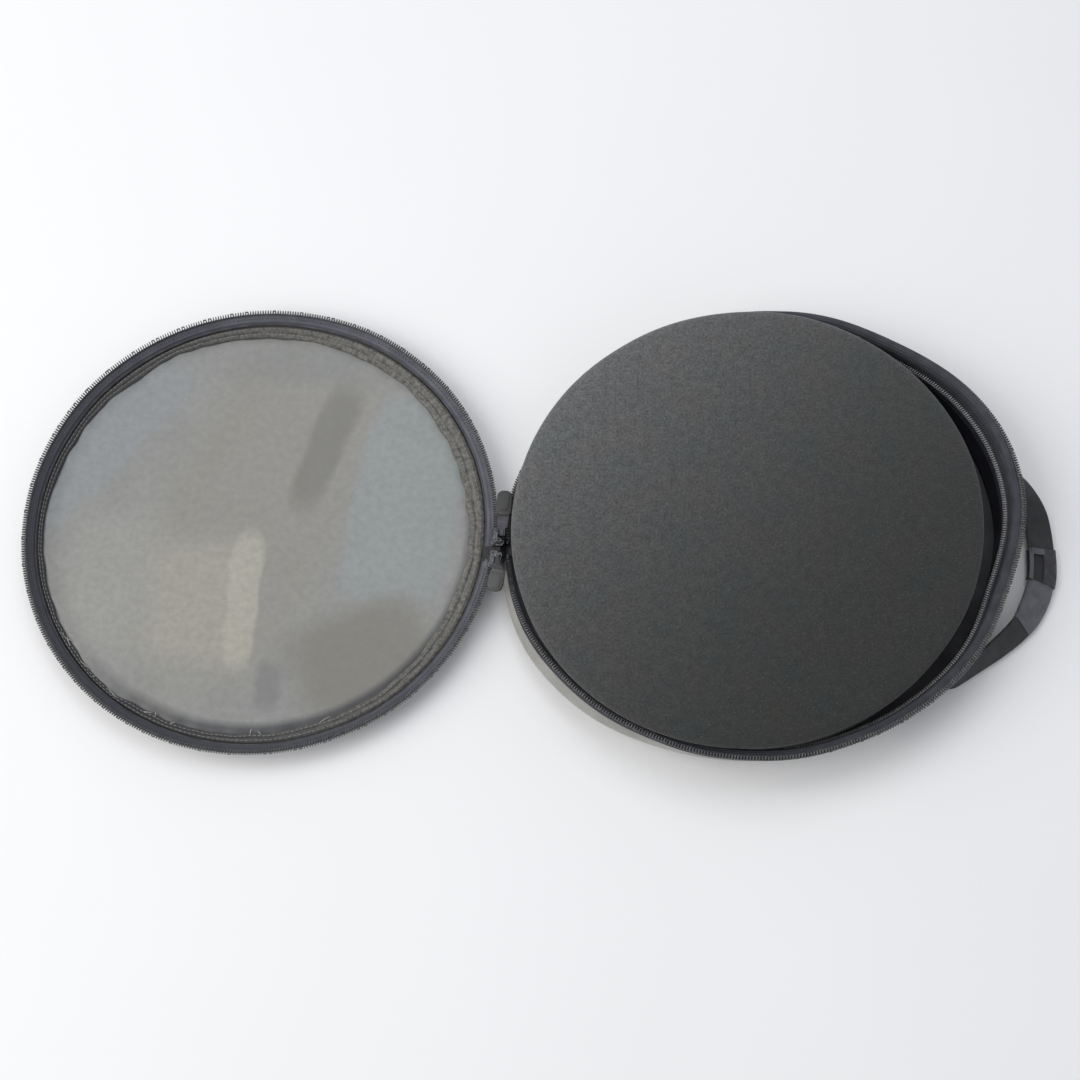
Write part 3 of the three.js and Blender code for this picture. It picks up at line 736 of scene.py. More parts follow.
back_low, back_high = span("lid_panel", 2)
back_half = (back_high - back_low) / 2
back_line = [(lid_r * k / 8, back_high) for k in range(8)] + [(lid_r - back_half, back_high)]
back_line += [(lid_r, back_low + back_half), (lid_r - back_half, back_low)]
back_line += [(lid_r * k / 8, back_low) for k in range(7, -1, -1)]
rows = []
for turn in map(math.radians, all_round(144)):
    rows.append([(lid_x + r * math.cos(turn), r * math.sin(turn), z) for r, z in back_line])
back = sew("lid_back_panel", rows, tube=False, planar=True)
put(back, "lid", lid_cloth, "shell_fabric", "lid_panel")
lid_ring("lid_edge_cord", cord_section(lid_r + 2.3, 2.1, 1.9), cord_cloth, "piping", ["lid_edge_piping"])
band_line = [(lid_r + 2.6, 4.6), (lid_r + 5.5, 5.0), (zip_r - 6.2, 5.9), (zip_r - 5.0, 7.2),
             (zip_r - 4.6, 9.4)]
lid_ring("lid_edge_cloth", layer(band_line, 0.9), shell_cloth, "shell_fabric", ["lid_edge_band"])
refinish("lid_board", board_card)
refinish("lid_foam", foam_cells)

# ------------------------------------------------------------------ lid lining
# A round of glossy pale nylon, laid over the lid's foam and caught only at its edge, so that it
# puckers along the seam and falls into broad soft creases. Loose ends of thread show at the seam.
lining_r = span("lid_lining", 0)[1] - lid_x
lining_z = 7.7
# Broad creases across the lining: a point on each, its direction in degrees, height, half width.
creases = [((-40, 20), 62, 0.55, 16), ((25, -40), 96, -0.50, 9), ((60, 45), 48, 0.45, 14),
           ((-80, -35), 20, 0.35, 18), ((10, 95), 8, 0.40, 15), ((85, -70), -40, 0.45, 12)]


def lining_edge(angle):
    """Where the lining goes in under the binding: a line that wavers."""
    turn = math.radians(angle)
    spot = Vector((math.cos(turn), math.sin(turn), 0.0))
    reach = lining_r + 0.4 - 4.2 * math.cos(turn - math.radians(15))
    return reach + 1.6 * noise.noise(spot * 3.3) + 1.2 * noise.noise(spot * 11)


def lining_height(x, y, share, angle):
    height = lining_z + 1.3 * (1 - share ** 2)
    for (cx, cy), way, tall, wide in creases:
        off = (x - cx) * math.sin(math.radians(way)) - (y - cy) * math.cos(math.radians(way))
        height += tall * math.exp(-((off / wide) ** 2))
    height += 0.5 * noise.noise(Vector((x, y, 0)) * 0.02) + 0.15 * noise.noise(Vector((x, y, 4)) * 0.06)
    turn = math.radians(angle)
    pucker = noise.noise(Vector((14 * math.cos(turn), 14 * math.sin(turn), share * 2)))
    height += 1.0 * pucker * max(0.0, (share - 0.8) / 0.2) ** 2 + 0.5 * share ** 6
    return height - 1.1 * max(0.0, (share - 0.955) / 0.045) ** 2


def soft_panel():
    """A patch with round corners, 1 inside and 0 outside, whose edge is soft or crisp."""
    inputs = {"Centre": (0, 0, 0), "Half size": (50, 50, 1), "Turn": 0.0, "Edge": 0.5}
    tree, given, out = effect("soft panel", inputs, ["Spot"])
    place, sway = given["Thread map"], 11.0
    wander = add_node(tree, "ShaderNodeTexNoise", {"Vector": place, "Scale": 0.03, "Detail": 3.0})
    shaken = vector_maths(tree, "MULTIPLY_ADD", wander.outputs[1], (sway, sway, 0.0), place)
    centred = vector_maths(tree, "ADD", shaken, (-sway / 2, -sway / 2, 0.0))
    off = vector_maths(tree, "SUBTRACT", centred, given["Centre"])
    turned = add_node(tree, "ShaderNodeVectorRotate", {"Vector": off, "Angle": given["Turn"]}).outputs[0]
    scaled = vector_maths(tree, "DIVIDE", turned, given["Half size"])
    sides = add_node(tree, "ShaderNodeSeparateXYZ", {0: scaled}).outputs
    across, along = (maths(tree, "POWER", maths(tree, "ABSOLUTE", sides[k]), 4.0) for k in (0, 1))
    reach = maths(tree, "POWER", maths(tree, "ADD", across, along), 0.25)
    inside = maths(tree, "SUBTRACT", 1.0, given["Edge"])
    soft = add_node(tree, "ShaderNodeMapRange", {0: reach, 1: 1.0, 2: inside},
                    interpolation_type="SMOOTHSTEP")
    tree.links.new(soft.outputs[0], out.inputs["Spot"])
    return tree


spot_effect = soft_panel()
# Painted reflections and painted shade on the glossy nylon, laid as soft patches: centre, half size,
# turn in degrees, how soft the edge is, colour, share.
lining_painted_reflections = [
    ((-5, 10), (80, 150), -24, 0.35, (0.262, 0.252, 0.222), 0.9),
    ((-122, 60), (34, 105), -38, 0.4, (0.262, 0.278, 0.288), 0.85),
    ((98, 22), (42, 88), -8, 0.22, (0.262, 0.285, 0.280), 0.95),
    ((40, 62), (17, 62), -17, 0.45, (0.172, 0.166, 0.142), 0.9),
    ((20, 125), (70, 22), 0, 0.7, (0.215, 0.222, 0.212), 0.7),
    ((-98, -45), (50, 70), 0, 0.6, (0.320, 0.315, 0.290), 0.7),
    ((-40, -58), (44, 60), 4, 0.5, (0.345, 0.328, 0.275), 0.9),
    ((-9, -55), (13, 56), -2, 0.3, (0.415, 0.395, 0.325), 0.8),
    ((74, -92), (62, 46), 22, 0.5, (0.185, 0.174, 0.145), 0.9),
    ((12, -116), (12, 24), -6, 0.6, (0.170, 0.170, 0.165), 0.8),
    ((-58, -118), (40, 26), 20, 0.7, (0.270, 0.268, 0.245), 0.6),
]


def lining_finish():
    """Thin shiny nylon: patches of painted reflection and painted shade, a fine mottle, and painted
    shade along the lower seam.
    """
    made, tree, shader, thread = start_finish("glossy lining nylon", Coat_Weight=0.25, Coat_Roughness=0.3,
                                              Sheen_Weight=0.1)
    weave = use(tree, weave_effect, {"Thread map": thread, "Threads per mm": 2.6})
    cloud = cloud_of(tree, thread, 45.0, 0.22)
    crumple = cloud_of(tree, thread, 9.0, 0.35)
    tint = blend_colours(tree, cloud, (0.235, 0.235, 0.222), (0.285, 0.288, 0.275))
    # The painted reflections and painted shade are laid over the nylon's own colour.
    for (x, y), half, turn, edge, colour, share in lining_painted_reflections:
        inputs = {"Thread map": thread, "Centre": (lid_x + x, y, 0), "Half size": (*half, 1),
                  "Turn": -math.radians(turn), "Edge": edge}
        spot = use(tree, spot_effect, inputs)["Spot"]
        tint = blend_colours(tree, maths(tree, "MULTIPLY", spot, share), tint, colour)
    mottle = cloud_of(tree, thread, 5.0, 0.16)
    tint = blend_colours(tree, maths(tree, "MULTIPLY", mottle, 0.26), tint, (0.13, 0.13, 0.12))
    tint = blend_colours(tree, maths(tree, "MULTIPLY", weave["Slub"], 0.18), tint, (0.12, 0.12, 0.11))
    # Painted shade: the lining darkens near its edge on the lower right, in the groove under the binding.
    place = vector_maths(tree, "ADD", thread, (-lid_x, 0.0, 0.0))
    far = add_node(tree, "ShaderNodeVectorMath", {0: place}, operation="LENGTH").outputs["Value"]
    seam = add_node(tree, "ShaderNodeMapRange", {0: far, 1: lining_r - 9, 2: lining_r - 2}).outputs[0]
    low_side = add_node(tree, "ShaderNodeVectorMath", {0: place, 1: (0.0045, -0.0075, 0.0)},
                        operation="DOT_PRODUCT").outputs["Value"]
    shade = maths(tree, "MULTIPLY", seam, maths(tree, "MAXIMUM", low_side, 0.12))
    tint = blend_colours(tree, maths(tree, "MINIMUM", shade, 0.85), tint, (0.035, 0.036, 0.042))
    tree.links.new(tint, shader.inputs["Base Color"])
    rough_from(tree, shader, cloud, 0.34, 0.48)
    fine = raise_from(tree, shader, weave["Height"], 0.02)
    raise_from(tree, shader, crumple, 0.25, fine)
    return made


lining_nylon = lining_finish()
rows = []
for angle in all_round(360):
    turn = math.radians(angle)
    row = []
    for share in steps(0, 1, 45):
        r = lining_edge(angle) * share
        x, y = r * math.cos(turn), r * math.sin(turn)
        fade = min(1.0, share * 4)
        z = lining_height(x, y, share, angle) * fade + (1 - fade) * (lining_z + 1.5)
        row.append((lid_x + x, y, z))
    rows.append(row)
lid_lining = put(sew("lid_nylon_lining", rows, tube=False, planar=True), "lid", lining_nylon,
                 "lining_nylon", "lid_lining")

thread_white = cloth("loose white thread", (0.52, 0.52, 0.49), (0.38, 0.38, 0.36), patch=2, depth=0.02)


def hair(points, half, sides=5):
    """Rows of a thin round thread through points, thinner at its ends."""
    line = np.array(points, float)
    ahead = np.gradient(line, axis=0)
    ahead /= np.linalg.norm(ahead, axis=1)[:, None]
    up = np.array([0.0, 0.0, 1.0])
    rows = []
    for k, (spot, way) in enumerate(zip(line, ahead)):
        side = np.cross(way, up)
        side /= max(np.linalg.norm(side), 1e-6)
        over = np.cross(side, way)
        size = half * (0.5 if k in (0, len(line) - 1) else 1.0)
        rows.append([spot + size * (side * math.cos(t) + over * math.sin(t))
                     for t in steps(0, 2 * math.pi, sides + 1)[:-1]])
    return rows


def join(name, parts):
    """Several meshes as one piece."""
    both = bmesh.new()
    for part in parts:
        both.from_mesh(part.data)
        bpy.data.objects.remove(part)
    mesh = bpy.data.meshes.new(name)
    both.to_mesh(mesh)
    both.free()
    return lay_out(name, mesh)


# Loose ends: degrees round the lid, length, and how far each leans over.
loose_ends = [(-150, 3, 60), (-146, 5, 20), (-143, 3, -40), (-139, 4, 50), (-133, 3, 5), (-124, 3, -50),
              (-117, 4, 35), (-113, 5, -8), (-109, 4, 15), (-88, 6, 4), (-85, 4, -12), (-70, 3, 40)]
ends = []
for angle, long, turn in loose_ends:
    start = lining_edge(angle) - 0.4
    spots = []
    for k in range(5):
        bend = math.radians(angle + turn * 0.02 * k)
        r = start - 0.7 * long * k / 4 * math.cos(math.radians(turn))
        height = lining_z + 1.6 + 0.9 * math.sin(k * 0.8)
        spots.append((lid_x + r * math.cos(bend), r * math.sin(bend), height))
    ends.append(sew("end", hair(spots, 0.26), ring=False))
put(join("lid_loose_threads", ends), "lid", thread_white, "lining_nylon")

# ------------------------------------------------------------------ lid rim and its half of the zip
# The lining's edge is bound with a puckered cream tape sewn in two rows. Outside it the cloth is
# rolled into a ridge, then comes a groove, the ribbed zip tape, and the coil at the very edge.
lid_coil_z = span("lid_zip_coil", 2)[1] - coil_half
lid_zip_first = math.degrees(math.asin((span("hinge_tab_lid", 1)[1] + 0.3) / zip_r))
lid_zip_last = 360 + math.degrees(math.asin((span("hinge_tab_lid", 1)[0] - 0.3) / zip_r))
# The cream tape has painted light round 25 degrees and painted shade across from it.
cream_tape = cloth("cream binding tape", (0.27, 0.262, 0.235), (0.085, 0.083, 0.078), rough=(0.7, 0.95),
                   threads=0.9, depth=0.22, patch=3, lit_towards=(148, 25, (0.055, 0.055, 0.062)))
fold_cloth = cloth("rolled rim cloth", (0.10, 0.10, 0.115), (0.045, 0.045, 0.055), rough=(0.5, 0.75),
                   threads=1.6, depth=0.10, patch=12)
# The lid's zip tape has painted light round 45 degrees and painted shade across from it.
lid_tape_cloth = cloth("lid zip tape", (0.155, 0.160, 0.190), (0.095, 0.098, 0.118), rough=(0.5, 0.75),
                       threads=1.9, depth=0.08, patch=16, ribs=1.5,
                       lit_towards=(158, 45, (0.055, 0.057, 0.072)))


def puckered(angle, amount, spot=0.0):
    """How far tight sewing has puckered an edge there."""
    turn = math.radians(angle)
    return amount * noise.noise(Vector((40 * math.cos(turn), 40 * math.sin(turn), spot)))


def cream_section(angle):
    first, last = lining_edge(angle) - 1.2, zip_r - 8.4
    wide, rise = last - first, puckered(angle, 0.45)
    line = [(first, 7.9)]
    for ridge in (0, 1):
        for k in range(5):
            t = (k + 0.5) / 5
            tall = 1.1 + 0.5 * ridge + (rise if ridge else -rise)
            height = 8.3 + 0.5 * ridge + tall * math.sin(math.pi * t) ** 0.6
            line.append((first + wide * (ridge + t) / 2, height))
    line.append((last + 0.2, 8.6))
    return layer(line, 0.9)


def fold_section(angle):
    swell = 1.25 + puckered(angle, 0.2, 5.0)
    return cord_section(zip_r - 6.4, 10.6, swell, 12)


lid_tape_line = [(zip_r - 6.0, 11.6), (zip_r - 5.6, 13.2), (zip_r - 4.6, 13.9), (zip_r - 3.2, 14.3),
                 (zip_r - 1.8, 14.8), (zip_r - 0.7, 15.0)]
lid_ring("lid_cream_binding", cream_section, cream_tape, "binding", ["lid_binding"], count=720)
lid_ring("lid_rolled_ridge", fold_section, fold_cloth, "binding", ["lid_rim_fold"], count=540)
lid_ring("lid_zip_ribbed_tape", layer(lid_tape_line, tape_thick), lid_tape_cloth, "zip_tape",
         ["lid_zip_tape"], lid_zip_first, lid_zip_last, count=360)


def lid_coil_place(angle):
    """Middle of the lid's coil and the ways across it."""
    turn = math.radians(angle)
    out = Vector((math.cos(turn), math.sin(turn), 0))
    return Vector(lid_point(angle, zip_r - 0.3, lid_coil_z)), out, Vector((0, 0, 1))


lid_coil = wind_coil("lid_zip_loops", lid_coil_place, lid_zip_first + 1, lid_zip_last - 1, 1.35, 1.0)
put(lid_coil, "lid", coil_finish, "zip_coil", "lid_zip_coil")
for letter, at in (("a", lid_zip_first), ("b", lid_zip_last - stop_degrees)):
    lid_ring(f"lid_zip_end_{letter}", cord_section(zip_r, lid_coil_z, 1.5), stop_metal, "zip_metal",
             [f"lid_zip_stop_{letter}"], at, at + stop_degrees, count=5)


stitch_sink = 0.25


def stitches(name, place, first, last, spacing, long, half, finish, body, slot):
    """A row of short stitches; place(angle) gives a point of the seam."""
    parts = []
    mid = (first + last) / 2
    step = spacing / (Vector(place(mid + 0.5)) - Vector(place(mid - 0.5))).length
    for k in range(int((last - first) / step)):
        at = first + k * step
        reach = step * long / spacing / 2
        spots = [Vector(place(at + reach * s)) - Vector((0, 0, stitch_sink * s * s))
                 for s in (-1, -0.5, 0, 0.5, 1)]
        parts.append(hair(spots, half, 4))
    verts, faces = [], []
    for part in parts:
        base, wide, last_row = len(verts), len(part[0]), len(part) - 1
        verts += [tuple(float(c) * MM for c in spot) for row in part for spot in row]
        for i in range(last_row):
            for j in range(wide):
                here, m = base + i * wide, (j + 1) % wide
                faces.append((here + j, here + m, here + wide + m, here + wide + j))
        faces.append([base + j for j in range(wide)][::-1])
        faces.append([base + last_row * wide + j for j in range(wide)])
    mesh = bpy.data.meshes.new(name)
    mesh.from_pydata(verts, [], faces)
    lay_thread(mesh)
    shell = bmesh.new()
    shell.from_mesh(mesh)
    bmesh.ops.recalc_face_normals(shell, faces=shell.faces)
    shell.to_mesh(mesh)
    shell.free()
    mesh.shade_smooth()
    return put(lay_out(name, mesh), body, finish, slot)


stitch_thread = cloth("pale stitching", (0.44, 0.43, 0.39), (0.30, 0.29, 0.26), patch=2, depth=0.03)
dark_thread = cloth("dark stitching", (0.14, 0.14, 0.155), (0.07, 0.07, 0.08), patch=2, depth=0.03)
for row, share, z in ((1, 0.27, 10.0), (2, 0.77, 11.0)):
    def seam(angle, share=share, z=z):
        first = lining_edge(angle) - 1.2
        return lid_point(angle, first + (zip_r - 8.4 - first) * share, z)

    stitches(f"lid_binding_stitches_{row}", seam, 0, 360, 3.2, 2.3, 0.22, stitch_thread, "lid", "binding")
stitches("lid_tape_stitches", lambda a: lid_point(a, zip_r - 4.0, 14.75), lid_zip_first + 1,
         lid_zip_last - 1, 3.0, 2.2, 0.2, dark_thread, "lid", "zip_tape")

# ------------------------------------------------------------------ fabric hinge
# One short strip of black webbing, sewn to the lid's rim and to the tray's, and bent between
# them with the lid open.
hinge_low, hinge_high = span("hinge_tab_lid", 1)
hinge_x = sum(span("hinge_tab_lid", 0) + span("hinge_tab_base", 0)) / 4
hinge_cloth = cloth("hinge webbing", (0.045, 0.045, 0.050), (0.018, 0.018, 0.021), rough=(0.35, 0.6),
                    threads=1.1, depth=0.25, patch=4)
hinge_path = [(hinge_x - 11.5, 12.9), (hinge_x - 8.0, 14.2), (hinge_x - 5.0, 15.4), (hinge_x - 2.6, 18.0),
              (hinge_x - 1.0, 22.5), (hinge_x, 24.4), (hinge_x + 1.0, 22.5), (hinge_x + 2.6, 18.6),
              (hinge_x + 6.0, 17.4)]
rows = []
for y in steps(hinge_low - 1.6, hinge_high + 1.6, 12):
    rows.append([(x, y, z) for x, z in layer(hinge_path, 1.3)])
hinge = sew("hinge_webbing", rows, ring=False)
hinge.data.materials.append(hinge_cloth)
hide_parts("hinge_tab_lid", "hinge_tab_base")
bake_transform(hinge)

# ------------------------------------------------------------------ zip sliders and pulls
# Two die-cast sliders, plated black, run on the lid's coil. Each has a raised bail with a pin
# through it, a woven link on the pin, and a moulded rubber tab on the link's other end.
slider_black = metal("black plated zinc", (0.15, 0.15, 0.155), (0.018, 0.018, 0.020), (0.10, 0.28), 0.3)
pin_steel = metal("pin steel", (0.50, 0.50, 0.52), (0.30, 0.30, 0.31), (0.2, 0.35))


def rubber(name, pale, dark):
    """Moulded rubber, slightly dusty, with paler and darker patches."""
    made, tree, shader, thread = start_finish(name)
    cloud = cloud_of(tree, thread, 4.0, 0.25)
    tree.links.new(blend_colours(tree, cloud, dark, pale), shader.inputs["Base Color"])
    rough_from(tree, shader, cloud, 0.42, 0.62)
    raise_from(tree, shader, cloud_of(tree, thread, 0.5, 0.3), 0.06)
    return made


link_cloth = {
    "a": cloth("woven link", (0.13, 0.13, 0.15), (0.07, 0.07, 0.08), threads=1.2, depth=0.2, patch=4),
    "b": cloth("dark woven link", (0.11, 0.11, 0.12), (0.05, 0.05, 0.055), threads=1.2, depth=0.25,
               patch=3),
}
pull_rubber = {"a": rubber("dark grey rubber", (0.058, 0.058, 0.055), (0.026, 0.026, 0.027)),
               "b": rubber("grey rubber", (0.090, 0.090, 0.087), (0.052, 0.052, 0.052))}


def block(corners, low, high, soft, turn):
    """A block over an outline, with its edges rounded by soft millimetres, turned into place."""
    shape = bmesh.new()
    foot = [shape.verts.new((x * MM, y * MM, low * MM)) for x, y in corners]
    head = [shape.verts.new((x * MM, y * MM, high * MM)) for x, y in corners]
    shape.faces.new(foot[::-1])
    shape.faces.new(head)
    for k in range(len(corners)):
        m = (k + 1) % len(corners)
        shape.faces.new((foot[k], foot[m], head[m], head[k]))
    bmesh.ops.recalc_face_normals(shape, faces=shape.faces)
    bmesh.ops.bevel(shape, geom=list(shape.edges), offset=soft * MM, segments=3, profile=0.5,
                    affect="EDGES", clamp_overlap=True)
    mesh = bpy.data.meshes.new("block")
    shape.to_mesh(mesh)
    shape.free()
    lay_thread(mesh, lean=0.4)
    mesh.shade_smooth()
    mesh.transform(turn)
    return lay_out("block", mesh)


def box_corners(x0, x1, y0, y1):
    return [(x0, y0), (x1, y0), (x1, y1), (x0, y1)]


def oval_corners(x, y, half_x, half_y, corner, per=4):
    """A rectangle with round corners."""
    out = []
    for cx, cy, start in ((1, 1, 0), (-1, 1, 90), (-1, -1, 180), (1, -1, 270)):
        for k in range(per + 1):
            t = math.radians(start + 90 * k / per)
            out.append((x + cx * (half_x - corner) + corner * math.cos(t),
                        y + cy * (half_y - corner) + corner * math.sin(t)))
    return out


def middle_of(node):
    low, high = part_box(node)
    return [(a + b) / 2 / MM for a, b in zip(low, high)]


# Each tab starts this far along its link, lies this far out from the bail, and is half this long.
tab_places = {"a": (13.2, 0.2, 8.8), "b": (7.4, 2.0, 7.3)}
pin_z = middle_of("slider_a_pin")[2]
leg_top = span("slider_a", 2)[1]
cap_half, cap_shift = 6.6, -1.6
cheek_out, cheek_half = 2.15, 0.5
for letter, lead in (("a", 1), ("b", -1)):
    pin_at = middle_of(f"slider_{letter}_pin")
    angle = math.atan2(pin_at[1], pin_at[0] - lid_x)
    bail_r = math.hypot(pin_at[1], pin_at[0] - lid_x)
    turn = Matrix.Translation((lid_x * MM, 0, 0)) @ Matrix.Rotation(angle, 4, "Z")

    # The lower plate, the block up to the wings, the two steps of the cap, and a small lug.
    shift = lead * cap_shift
    lug = box_corners(zip_r + 3.2, zip_r + 6.6, lead * -4.6 - 0.8, lead * -4.6 + 0.8)
    lower_cap = oval_corners(zip_r + 2.9, shift, 4.6, cap_half, 2.6)
    upper_cap = oval_corners(zip_r + 2.6, shift, 3.2, cap_half - 1.8, 1.6)
    body = join(f"slider_{letter}_body", [
        block(box_corners(zip_r - 3.4, zip_r + 6.0, -5, 5), 10.8, 12.6, 0.5, turn),
        block(box_corners(zip_r + 2.2, zip_r + 6.0, -5, 5), 11.4, leg_top - 0.8, 0.8, turn),
        block(lower_cap, leg_top - 2.0, leg_top + 0.2, 0.8, turn),
        block(upper_cap, leg_top - 0.4, leg_top + 1.3, 0.7, turn),
        block(lug, leg_top - 0.6, leg_top + 1.8, 0.5, turn),
    ])
    put(body, f"slider_{letter}", slider_black, "slider_black", f"slider_{letter}")
    cheeks = []
    for side in (-1, 1):
        cheek_r = bail_r + side * cheek_out
        corners = box_corners(cheek_r - cheek_half, cheek_r + cheek_half, -2.4, 2.4)
        cheeks.append(block(corners, leg_top, pin_z + 2.1, 0.45, turn))
    foot = box_corners(bail_r - 2.6, bail_r + 2.6, -2.6, 2.6)
    cheeks.append(block(foot, leg_top - 0.1, leg_top + 1.2, 0.4, turn))
    put(join(f"slider_{letter}_cheeks", cheeks), f"slider_{letter}", slider_black, "slider_black",
        f"slider_{letter}_bail")
    ends = [Vector((bail_r + x, 0, pin_z)) for x in (-2.2, -1.6, 0, 1.6, 2.2)]
    pin = sew(f"slider_{letter}_steel_pin", hair(ends, 0.95, 10), ring=False)
    pin.data.transform(turn)
    put(pin, f"slider_{letter}", pin_steel, "zip_metal", f"slider_{letter}_pin")

    # The woven link folds round the pin, and widens as it runs into the tab.
    first, aside, tab_half = tab_places[letter]
    link_end = lead * (first + 1.0)
    above = [(link_end, 0.7), (lead * 4.0, 0.9), (lead * 1.6, 1.5), (0.0, 1.7)]
    round_pin = [(-lead * 1.4, 1.0), (-lead * 1.8, 0.0), (-lead * 1.4, -1.0)]
    below = [(0.0, -1.7), (lead * 1.6, -1.4), (lead * 4.0, -0.8), (link_end, -0.7)]
    loop = layer([(y, pin_z + z) for y, z in above + round_pin + below], 0.7, 2)
    rows = [[(bail_r + x, y, z) for y, z in loop] for x in steps(-1.35, 1.35, 5)]
    link = sew(f"pull_{letter}_woven_link", rows, ring=False)
    for vertex in link.data.vertices:
        share = min(1.0, max(0.0, (vertex.co.y / MM * lead - 2.6) / 2.2))
        wide = (vertex.co.x / MM - bail_r) * (1 + 2.1 * share)
        vertex.co.x = (bail_r + wide + aside * share) * MM
    link.data.transform(turn)
    put(link, f"pull_{letter}", link_cloth[letter], "pull_rubber", f"pull_{letter}_link")

    # The tab is one moulding: a round-ended paddle, its square neck, a raised face and a collar.
    tab_mid, tab_r = lead * (first + tab_half), bail_r + aside
    neck = oval_corners(tab_r, tab_mid - lead * 3, 5.1, tab_half - 3, 1.4)
    face = oval_corners(tab_r, tab_mid + lead * 0.6, 3.4, tab_half - 2.4, 2.6)
    collar = oval_corners(tab_r, lead * (first + 0.6), 4.2, 1.2, 0.6)
    tab = join(f"pull_{letter}_rubber_tab", [
        block(oval_corners(tab_r, tab_mid, 5.3, tab_half, 4.4), pin_z - 1.8, pin_z + 1.7, 1.3, turn),
        block(neck, pin_z - 1.7, pin_z + 1.6, 1.2, turn),
        block(face, pin_z + 1.2, pin_z + 2.1, 0.4, turn),
        block(collar, pin_z - 1.5, pin_z + 2.0, 0.5, turn),
    ])
    put(tab, f"pull_{letter}", pull_rubber[letter], "pull_rubber", f"pull_{letter}_tab")

# ------------------------------------------------------------------ carrying handle
# A loop of webbing, sewn at both ends to patches on the tray's wall. A hook-and-loop wrap and a
# padded sleeve are folded round it for the hand.
strap_half, strap_thick = 8.6, 2.2
webbing = cloth("black webbing", (0.046, 0.046, 0.049), (0.026, 0.026, 0.028), rough=(0.6, 0.8),
                threads=0.8, depth=0.25, patch=20, ribs=1.8)
hook_cloth = cloth("hook tape", (0.075, 0.075, 0.085), (0.035, 0.035, 0.042), rough=(0.35, 0.7),
                   threads=1.5, depth=0.2, patch=6)
sleeve_cloth = cloth("grip sleeve", (0.150, 0.150, 0.168), (0.085, 0.085, 0.098), rough=(0.35, 0.55),
                     threads=2.0, depth=0.08, patch=9, sheen=0.1)


def wall_spot(angle, height, out):
    """A point just outside the tray's wall."""
    return tray_point(angle, wall_outer(height) + out, height)


upper_root, lower_root = 18.5, -53.0
# How the strap is twisted along its length: upright at both roots, nearly flat in the hand.
twist_at = [0.0, 0.14, 0.26, 0.38, 0.50, 0.62, 0.78, 0.92, 1.0]
twist_by = [88, 86, 70, 50, 30, 10, 10, 40, 86]
handle_points = [
    wall_spot(lower_root, 14.5, 0.4), wall_spot(lower_root + 5, 14.4, 1.4),
    wall_spot(lower_root + 10, 14.0, 2.2),
    (143, -97.5, 13.2), (158, -85.5, 12), (175.5, -71.5, 10.4), (190, -57.5, 9), (200.5, -41, 7.6),
    (207.4, -22, 6.3), (208.8, -1, 6.2), (207.0, 20, 7.5), (202.2, 36, 9.5), (193, 50, 12),
    wall_spot(upper_root, 14.5, 1.8),
]


def smooth_path(points, per=10):
    """A Catmull-Rom curve through given points."""
    knots = [Vector(p) for p in points]
    knots = [2 * knots[0] - knots[1]] + knots + [2 * knots[-1] - knots[-2]]
    out = []
    for k in range(1, len(knots) - 2):
        a, b, c, d = knots[k - 1 : k + 3]
        for j in range(per):
            t = j / per
            out.append(0.5 * (2 * b + (c - a) * t + (2 * a - 5 * b + 4 * c - d) * t * t
                              + (3 * b - a - 3 * c + d) * t ** 3))
    return out + [knots[-2]]


handle_line = smooth_path(handle_points)
handle_end = len(handle_line) - 1


def along_handle(name, section, first, last):
    """A piece lofted along part of the handle; section(share) is across the strap and up from it."""
    spots = handle_line[first : last + 1]
    rows = []
    for k, spot in enumerate(spots):
        at = first + k
        ahead = (handle_line[min(at + 1, handle_end)] - handle_line[max(at - 1, 0)]).normalized()
        side = Vector((ahead.y, -ahead.x, 0)).normalized()
        up = side.cross(ahead).normalized()
        if up.z < 0:
            up.negate()
        tip = math.radians(float(np.interp(at / handle_end, twist_at, twist_by)))
        wide = side * math.cos(tip) - up * math.sin(tip)
        face = side * math.sin(tip) + up * math.cos(tip)
        rows.append([spot + wide * a + face * b for a, b in section(k / max(1, len(spots) - 1))])
    return sew(name, rows, ring=False)


def nearest(y):
    """Index of the handle's point nearest a place along Y."""
    return min(range(len(handle_line)), key=lambda k: abs(handle_line[k].y - y))


def strap_section(share):
    line = [(a, 0.35 * math.cos(a / strap_half * math.pi / 2)) for a in steps(-strap_half, strap_half, 9)]
    return layer(line, strap_thick)


def hold_handle(piece, finish, slot, *nodes):
    return draw_in(put(piece, "handle", finish, slot, *nodes))


strap = along_handle("handle_strap", strap_section, 0, handle_end)
hold_handle(strap, webbing, "webbing", "handle_webbing")


def hook_section(share):
    """The hook tape goes round the strap's outer edge, and stays open on the inner one."""
    edge = strap_half + 1.0
    top = [(a, 1.9 + 0.3 * math.sin(a)) for a in steps(1.0, edge - 1.2, 8)]
    turn = [(edge + 0.2, 1.2), (edge + 0.6, 0.0), (edge + 0.2, -1.2)]
    bottom = [(a, -1.9) for a in steps(edge - 1.2, -9.5, 8)]
    return layer(top + turn + bottom, 1.3)


hook_first, hook_last = nearest(-26), nearest(-1)
hook = along_handle("handle_hook_wrap", hook_section, hook_first, hook_last)
hold_handle(hook, hook_cloth, "hook_tape", "handle_wrap_hook")


def edge_strip(share):
    return layer([(a, 2.3 + 0.5 * share) for a in steps(-9.8, -7.6, 4)], 1.0)


strip = along_handle("handle_hook_edge", edge_strip, hook_first, hook_last)
hold_handle(strip, sleeve_cloth, "hook_tape")


def curl(share):
    """The hook tape's free corner, which lifts off the strap."""
    lift = 1.8 * share
    return layer([(a, 2.6 + lift * max(0.0, -(a + 2) / 6)) for a in steps(-8.6, 1.0, 7)], 0.9)


